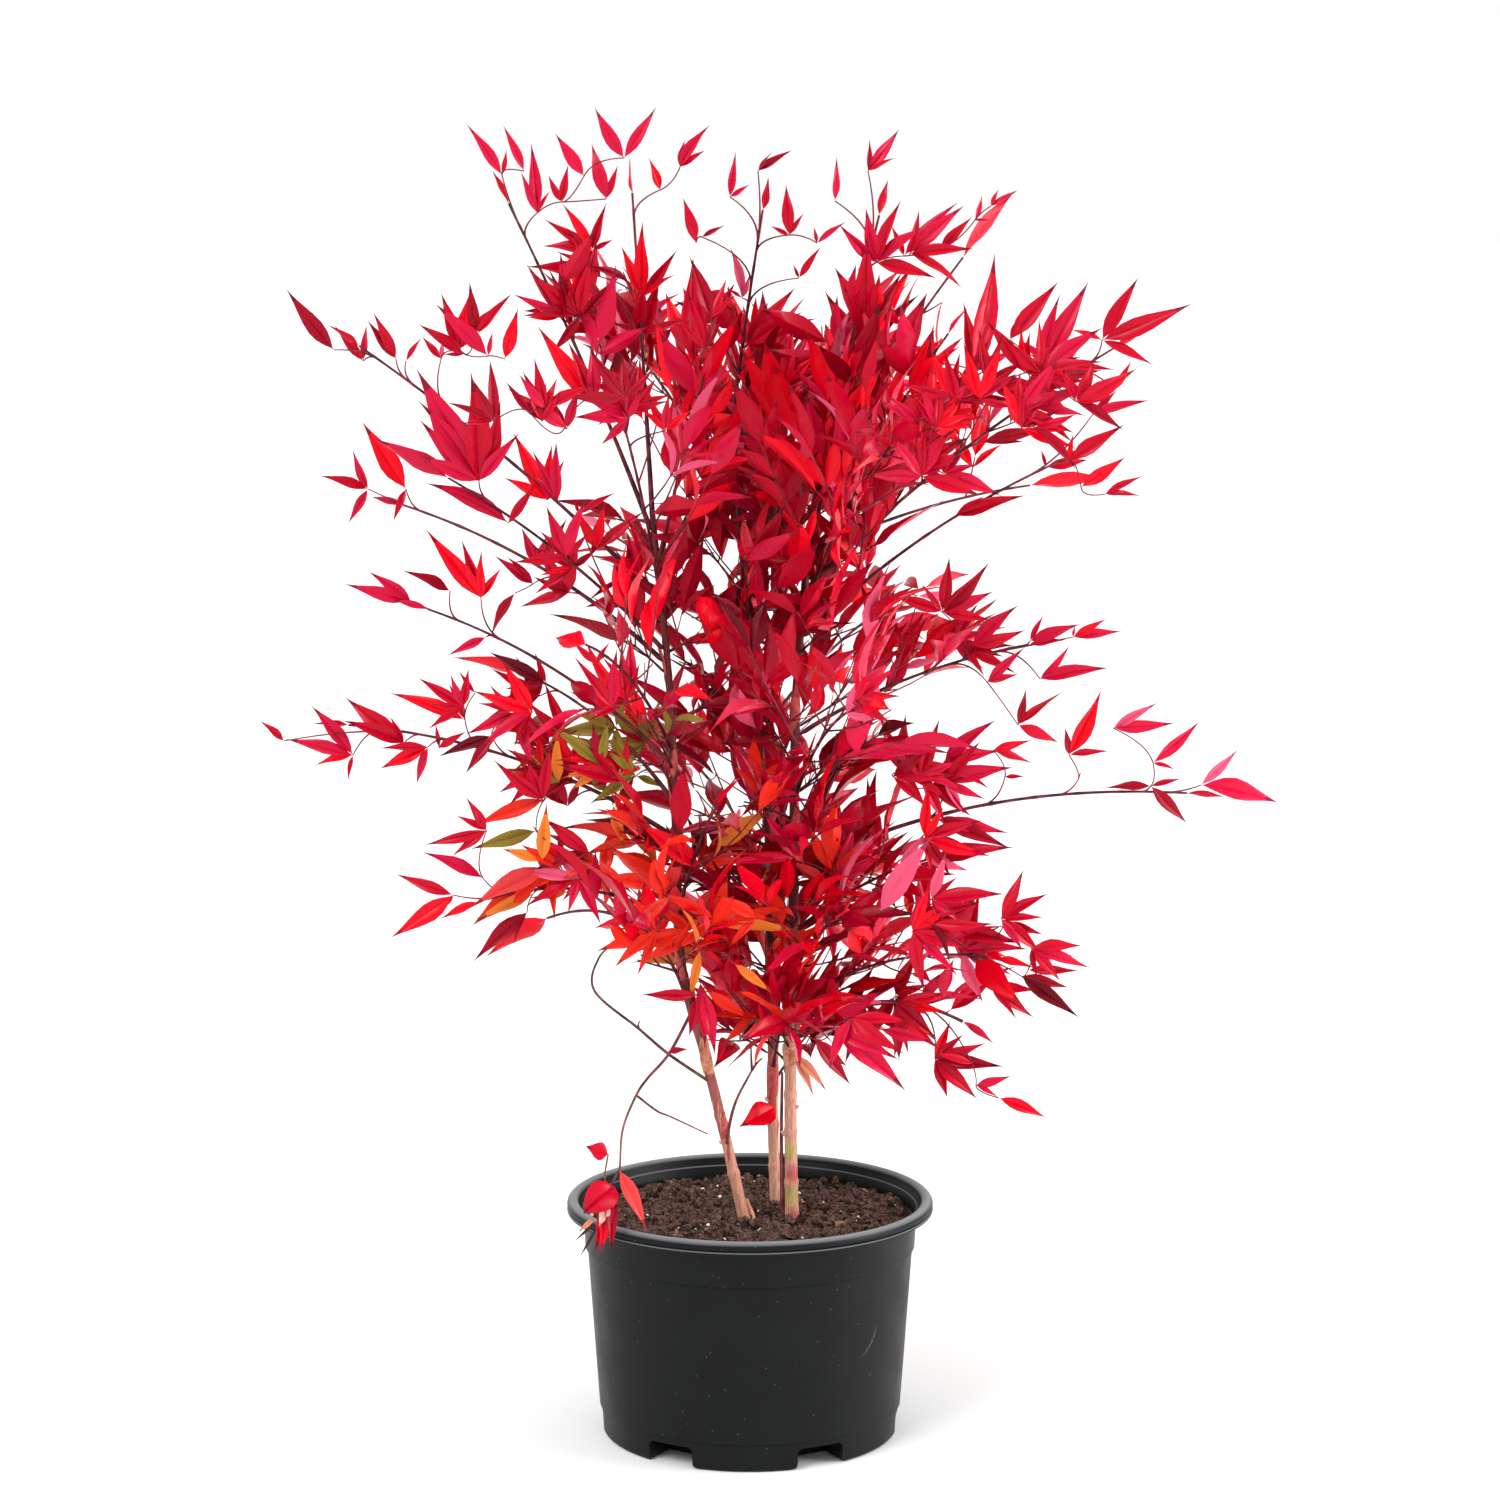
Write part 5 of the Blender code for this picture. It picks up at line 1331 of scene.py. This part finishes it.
def grow_spray(number, spray, curve, length, twigs, leaves):
    """Grow one spray by the seeded rule: pairs of side stalks along its arch, shorter to the tip."""
    rng = random.Random(SEED + number)
    sideways = Vector((-sin(radians(spray.azimuth)), cos(radians(spray.azimuth)), 0))
    shares, last = node_shares(spray, length)
    lift = UPWARD * (spray.height - DROOP_HEIGHT)
    for i, share in enumerate(shares):
        place = (share - shares[0]) / (last - shares[0])
        node = on_curve(curve, share)
        along = along_curve(curve, share)
        roll = radians((55 if i % 2 else -20) + rng.uniform(-20, 20))
        side = Matrix.Rotation(roll, 3, along) @ sideways
        normal = along.cross(side).normalized()
        size = leaf_size(node, rng)
        for hand in (-1, 1):
            reach = spray.width * (1 - 0.75 * place) * rng.uniform(0.75, 1.1)
            if rng.random() > spray.leafy:
                continue
            stalk = max(reach - 0.4 * size, 0.005) * (0.6 + 0.4 * spray.leafy)
            way = along * cos(PINNA_ANGLE) + side * (hand * sin(PINNA_ANGLE)) + Vector((0, 0, lift))
            put_stalk(twigs, leaves, node, way.normalized(), normal, stalk, size, tone_of(node, rng), rng)
    small = ENDED_SIZE if number in ended else 1.0
    end = on_curve(curve, last)
    out = (curve[2] - end).normalized()
    tone = tone_of(end, rng)
    face = Matrix.Rotation(radians(rng.choice((-50, 50))), 3, out) @ out.cross(sideways)
    if spray.name:
        leaves.append(Leaf(end, out, face.normalized() * (1 if face.z > 0 else -1),
                           (small * (curve[2] - end).length, 0.27, 0.05, radians(22), 0.2, 0.0, 1.0), tone))
    for hand in (-1, 1):
        way = Matrix.Rotation(radians(hand * rng.uniform(36, 50)), 3, out.cross(sideways).normalized()) @ out
        size = small * leaf_size(end, rng)
        put_leaf(leaves, end - out * 0.010, way, face, size, near_tone(tone, rng), rng)


def add_perch(point, along, number=None, share=None):
    """Note a place on an arch or at the base of a small spray, where another small spray can hang."""
    x, z = seen(point)
    ahead = Vector(seen(point + along * 0.01)) - Vector((x, z))
    perches.append(Perch(point, along, number, share))
    perch_rows.append((x, z, *(ahead.normalized() if number is None else (0, 0)), 0.12 * point.y))


def perch_for(sprig, rows):
    """The cheapest place for a small spray to hang: near, and straight on from another's base."""
    across = sprig.x - rows[:, 0]
    up = sprig.z - rows[:, 1]
    reach = np.hypot(across, up)
    onward = across * rows[:, 2] + up * rows[:, 3]
    chained = (rows[:, 2] != 0) | (rows[:, 3] != 0)
    on_spray = np.where(reach < NEAR_REACH, 1.30 * reach - 0.55 * onward + 0.003, 1.5 * reach)
    cost = np.where(chained, on_spray, reach) + rows[:, 4]
    best = int(np.argmin(cost))
    return cost[best], best


def put_sprig(sprig, perch, twigs, leaves, rng):
    """Hang a small spray where the photo shows one: a fine twig from its perch and a leaflet to each tip."""
    depth = perch.point.y + rng.uniform(-0.02, 0.01)

    def place(x, z, y):
        out = (CAMERA_DISTANCE + y) / CAMERA_DISTANCE
        return Vector((x * out, y, CAMERA_HEIGHT + (z - CAMERA_HEIGHT) * out))

    base = place(sprig.x, sprig.z, depth)
    start = perch.point
    if perch.number is not None:
        back = 0.9 * (base - start).length / lengths[perch.number]
        start = on_curve(curves[perch.number], max(perch.share - back, 0.06))
        if perch.share > 0.70:
            ended.add(perch.number)
    knee = start + perch.along * (0.45 * (base - start).length)
    route = [on_curve((start, knee, base), i / 8) for i in range(9)]
    thick = CHAINED_RADIUS if perch.number is None else SPRIG_RADIUS
    pile(twigs, *tube(route, [thick + (SPRIG_TIP_RADIUS - thick) * i / 8 for i in range(9)], 5))
    add_perch(base, (base - knee).normalized())
    tone = sprig.tone or tone_of(base, rng, OUTER_TONES)
    for x, z in sprig.tips:
        flat = place(x, z, depth) - base
        end = place(x, z, depth + flat.length * rng.uniform(-0.35, 0.35))
        way = end - base
        face = Vector((rng.gauss(0, 0.3), -1.0, 0.4 + rng.gauss(0, 0.3)))
        face = (face - way * (face.dot(way) / way.dot(way))).normalized()
        shape = (way.length, rng.uniform(0.20, 0.28), rng.uniform(0.1, 0.6), radians(rng.uniform(8, 30)),
                 rng.uniform(-0.4, 0.4), rng.uniform(-0.05, 0.05), rng.uniform(0, 2 * pi))
        if is_clear(base, way.normalized(), way.length):
            leaves.append(Leaf(base, way.normalized(), face, shape, sprig.tone or near_tone(tone, rng)))


twigs = ([], [])
leaves = []
ended = set()
sprig_seed = random.Random(29)
perches = []
perch_rows = []
for number, (spray, curve, length) in enumerate(zip(grown, curves, lengths)):
    stem_end = node_shares(spray, length)[1]
    for i in range(8, 41) if spray.name else ():
        share = min(i / 42, stem_end)
        add_perch(on_curve(curve, share), along_curve(curve, share), number, share)
waiting = [Sprig(*on_photo(*base), [on_photo(*tip) for tip in tips], tone)
           for tone, rows in SPRIGS.items() for base, *tips in rows]
while waiting:
    rows = np.array(perch_rows)
    found = [perch_for(sprig, rows) for sprig in waiting]
    nearest = min(range(len(found)), key=lambda i: found[i][0])
    put_sprig(waiting.pop(nearest), perches[found[nearest][1]], twigs, leaves, sprig_seed)
for number, (spray, curve, length) in enumerate(zip(grown, curves, lengths)):
    grow_spray(number, spray, curve, length, twigs, leaves)
for *area, count in THICKETS:
    for _ in range(count):
        x, z = in_ellipse(*patch(*area), sprig_seed)
        lean = atan2(z - 0.50 + 0.25 * abs(x), x * 1.6) + sprig_seed.uniform(-0.5, 0.5)
        tips = []
        for k in range(sprig_seed.randint(3, 6)):
            turn = lean + (k - 2) * sprig_seed.uniform(0.42, 0.72)
            size = sprig_seed.uniform(*THICKET_LEAF) * (1.0 if k == 2 else 0.85)
            tips.append((x + size * cos(turn), z + size * sin(turn)))
        sprig = Sprig(x, z, tips, "")
        put_sprig(sprig, perches[perch_for(sprig, np.array(perch_rows))[1]], twigs, leaves, sprig_seed)
leaf_coats = {tone: (leather(tone + "_leaf", blade), leather(tone + "_leaf_tip", tip))
              for tone, (blade, tip) in LEAF_TONES.items()}
foliage_nodes = ["foliage_" + spray.name for spray in SPRAYS]
for tone in NEAR_TONES:
    piece = add_leaves("leaves_" + tone, [leaf for leaf in leaves if leaf.tone == tone], leaf_coats[tone])
    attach(piece, "root")
    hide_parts(*foliage_nodes)
side_stalks = add_heap("side_stalks", twigs)
dress(side_stalks, polished_stem("red_side_stalk", "#962634", "#4E0F18", 0.4))
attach(side_stalks, "root")
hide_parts(*foliage_nodes)


# Whips and hanging leaves
# Thin side shoots leave the left cane low down. One is bare and brown, and kinked. Another bends over the
# rim and ends in a cluster of old leaves that hangs outside the pot, with scraps of dried ones.
Whip = namedtuple("Whip", "name start bends")
WHIPS = (
    Whip("whip_bare", 0.296, (
        (-0.065, -0.045, 0.324), (-0.089, -0.054, 0.347), (-0.124, -0.068, 0.381),
        (-0.120, -0.074, 0.409), (-0.103, -0.078, 0.425))),
    Whip("whip_hanging", 0.356, (
        (-0.065, -0.055, 0.327), (-0.082, -0.070, 0.310), (-0.091, -0.080, 0.298),
        (-0.101, -0.098, 0.275), (-0.103, -0.112, 0.247))),
)
WHIP_RADIUS = 0.0014
WHIP_TIP_RADIUS = 0.0008
WHIP_STEPS = 60
TWIG_STEPS = 14
FINE_TWIGS = (
    (0.0017, ((-0.0185, -0.028, 0.247), (-0.0170, -0.034, 0.262), (-0.0110, -0.038, 0.285),
              (0.0016, -0.040, 0.310))),
    (0.0012, ((0.0016, -0.040, 0.310), (0.0010, -0.040, 0.320), (0.0008, -0.040, 0.332))),
    (0.0012, ((0.0016, -0.040, 0.310), (0.0060, -0.038, 0.316), (0.0100, -0.036, 0.319))),
    (0.0012, ((-0.0905, -0.080, 0.2985), (-0.0743, -0.075, 0.2846), (-0.0630, -0.070, 0.2785),
              (-0.0342, -0.060, 0.2622))),
    (0.0010, ((-0.0890, -0.054, 0.347), (-0.0895, -0.055, 0.3505), (-0.0885, -0.056, 0.3540))),
    (0.0023, ((0.0268, -0.0065, 0.174), (0.0262, -0.0060, 0.205), (0.0256, -0.0050, 0.245),
              (0.0262, -0.0040, 0.300))),
)
HANGING_STEM = Vector((-0.1135, -0.115, 0.226))
LEAFLET_STALK = (HANGING_STEM, Vector((-0.1150, -0.116, 0.243)), Vector((-0.1120, -0.117, 0.2594)))
HANGING_LEAVES = (
    ((-0.1035, -0.1140, 0.2460), (-0.0793, -0.1250, 0.2000), 0.25, 0.2, 22, "coral"),
    ((-0.1090, -0.1150, 0.2330), (-0.1215, -0.1220, 0.1790), 0.26, 0.2, 25, "crimson"),
    ((-0.1100, -0.1150, 0.2300), (-0.1080, -0.1260, 0.1810), 0.24, 0.1, 30, "wine"),
    ((-0.1130, -0.1150, 0.2260), (-0.1160, -0.1240, 0.1800), 0.26, 0.2, 24, "scarlet"),
    ((-0.1070, -0.1150, 0.2330), (-0.1340, -0.1200, 0.2080), 0.78, 1.7, 26, "crimson"),
    ((-0.1120, -0.1190, 0.2200), (-0.1190, -0.1240, 0.2020), 0.46, 0.3, 10, "pale"),
    ((-0.1210, -0.1180, 0.2050), (-0.1395, -0.1200, 0.1880), 0.16, 0.9, 50, "withered"),
    ((-0.1200, -0.1180, 0.2020), (-0.1350, -0.1210, 0.1745), 0.14, 1.2, 50, "withered"),
    ((-0.1230, -0.1180, 0.2080), (-0.1360, -0.1200, 0.1960), 0.30, 0.8, 40, "dry"),
    ((-0.1120, -0.1170, 0.2594), (-0.1300, -0.1210, 0.2664), 0.78, 0.3, 12, "crimson"),
)
LOW_LEAF = ((0.0205, 0.0150, 0.2670), (-0.0085, -0.0085, 0.2540), 0.58, 0.4, 16, "scarlet")
LATE_LEAF = ((-0.0660, -0.0580, 0.3290), (-0.0490, -0.0620, 0.3330), 0.34, 0.2, 20, "wine")
PAPERY_STRIPS = (((0.0370, -0.0160, 0.3170), (0.0640, -0.0240, 0.2890), 0.24, 0.5, 30, "dry"),
                 ((0.0370, -0.0160, 0.3140), (0.0530, -0.0260, 0.2850), 0.26, 0.6, 34, "dry"))


def single_leaf(root, tip, width, bend, fold, tone):
    """One leaflet at a given root and tip, with its face to the front."""
    way = Vector(tip) - Vector(root)
    face = Vector((0.1, -1.0, 0.5))
    face = (face - way * (face.dot(way) / way.dot(way))).normalized()
    shape = (way.length, width, bend, radians(fold), 0.25, 0.04, 1.0)
    return Leaf(Vector(root), way.normalized(), face, shape, tone)


whip_coats = {"whip_bare": polished_stem("dry_brown_twig", "#7A5048", "#3A2220", 0.6),
              "whip_hanging": polished_stem("maroon_twig", "#8A4A4C", "#4A2022", 0.5)}
cane = cane_named["cane_left"]
for whip in WHIPS:
    middle, _ = cane_at(cane, whip.start)
    outward = (Vector(whip.bends[0]) - middle).normalized()
    bends = [middle + outward * (cane_radius(cane, whip.start) + GAP)] + [Vector(p) for p in whip.bends]
    steps = range(WHIP_STEPS + 1)
    route = [smooth_route(bends, i / WHIP_STEPS) for i in steps]
    radii = [WHIP_RADIUS + (WHIP_TIP_RADIUS - WHIP_RADIUS) * i / WHIP_STEPS for i in steps]
    heap = ([], [])
    pile(heap, *tube(route, radii, 8))
    piece = add_heap(whip.name + "_bark", heap)
    dress(piece, whip_coats[whip.name])
    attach(piece, "root")
    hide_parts(whip.name)
fine_twigs = ([], [])
for radius, bends in FINE_TWIGS:
    steps = range(TWIG_STEPS + 1)
    route = [smooth_route(bends, i / TWIG_STEPS) for i in steps]
    pile(fine_twigs, *tube(route, [radius * (1 - 0.5 * i / TWIG_STEPS) for i in steps], 6))
piece = add_heap("fine_twigs", fine_twigs)
dress(piece, whip_coats["whip_hanging"])
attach(piece, "root")

whip_end = Vector(WHIPS[1].bends[-1])
stem_route = [whip_end, whip_end.lerp(HANGING_STEM, 0.5), HANGING_STEM]
hanging_stalks = ([], [])
pile(hanging_stalks, *tube(stem_route, [WHIP_TIP_RADIUS, 0.0009, 0.0006], 6))
pile(hanging_stalks, *tube(LEAFLET_STALK, [0.0006, 0.0006, 0.0007], 6))
piece = add_heap("hanging_stalks", hanging_stalks)
dress(piece, whip_coats["whip_hanging"])
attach(piece, "root")
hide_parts("foliage_hanging")
old_leaves = [single_leaf(*row) for row in HANGING_LEAVES]
for tone in sorted({leaf.tone for leaf in old_leaves}):
    toned = [leaf for leaf in old_leaves if leaf.tone == tone]
    piece = add_leaves("hanging_leaves_" + tone, toned, leaf_coats[tone])
    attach(piece, "root")
    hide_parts("foliage_hanging")

for name, rows, node, slot in (("low_leaf", (LOW_LEAF,), "leaf_low", "leaves"),
                               ("late_leaf", (LATE_LEAF,), None, "leaves"),
                               ("papery_strips", PAPERY_STRIPS, None, "cane_bark")):
    piece = add_leaves(name, [single_leaf(*row) for row in rows], leaf_coats[rows[0][-1]])
    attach(piece, "root")
    if node:
        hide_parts(node)


# Floor, light and camera
# A plain pale floor in a white surround, one broad soft sun and a fill lamp. The camera stands where the
# photo's stood.
FLOOR_RADIUS = 60.0
LOOK_AT = Vector((0, 0, 0.45))
disc = bmesh.new()
bmesh.ops.create_circle(disc, cap_ends=True, segments=96, radius=FLOOR_RADIUS)
floor = add_object("floor", disc)
floor_coat, _ = finish("matt_white_floor", Base_Color=linear("#F6F6F6"), Roughness=0.9)
floor.data.materials.append(floor_coat)

world = bpy.data.worlds.new("white_surround")
world.use_nodes = True
backdrop = world.node_tree.nodes["Background"]
backdrop.inputs["Color"].default_value = linear("#FFFFFF")
backdrop.inputs["Strength"].default_value = 1.0
bpy.context.scene.world = world
for name, kind, place, size, power in (("soft_sun", "SUN", (-2.2, -2.6, 3.8), radians(30), 1.6),
                                       ("fill_lamp", "AREA", (2.8, -0.6, 0.9), 1.6, 74.0)):
    lamp = bpy.data.lights.new(name, kind)
    lamp.energy = power
    if kind == "SUN":
        lamp.angle = size
    else:
        lamp.size = size
    stand = add_thing(name, lamp)
    stand.location = place
    stand.rotation_euler = (LOOK_AT - Vector(place)).to_track_quat("-Z", "Y").to_euler()

camera = add_thing("camera", bpy.data.cameras.new("camera"))
camera.location = (0.0, -CAMERA_DISTANCE, CAMERA_HEIGHT)
camera.rotation_euler = (pi / 2 - CAMERA_PITCH, 0.0, 0.0)
camera.data.lens = CAMERA_LENS
camera.data.sensor_width = SENSOR
bpy.context.scene.camera = camera
bpy.context.scene.view_settings.view_transform = "Standard"
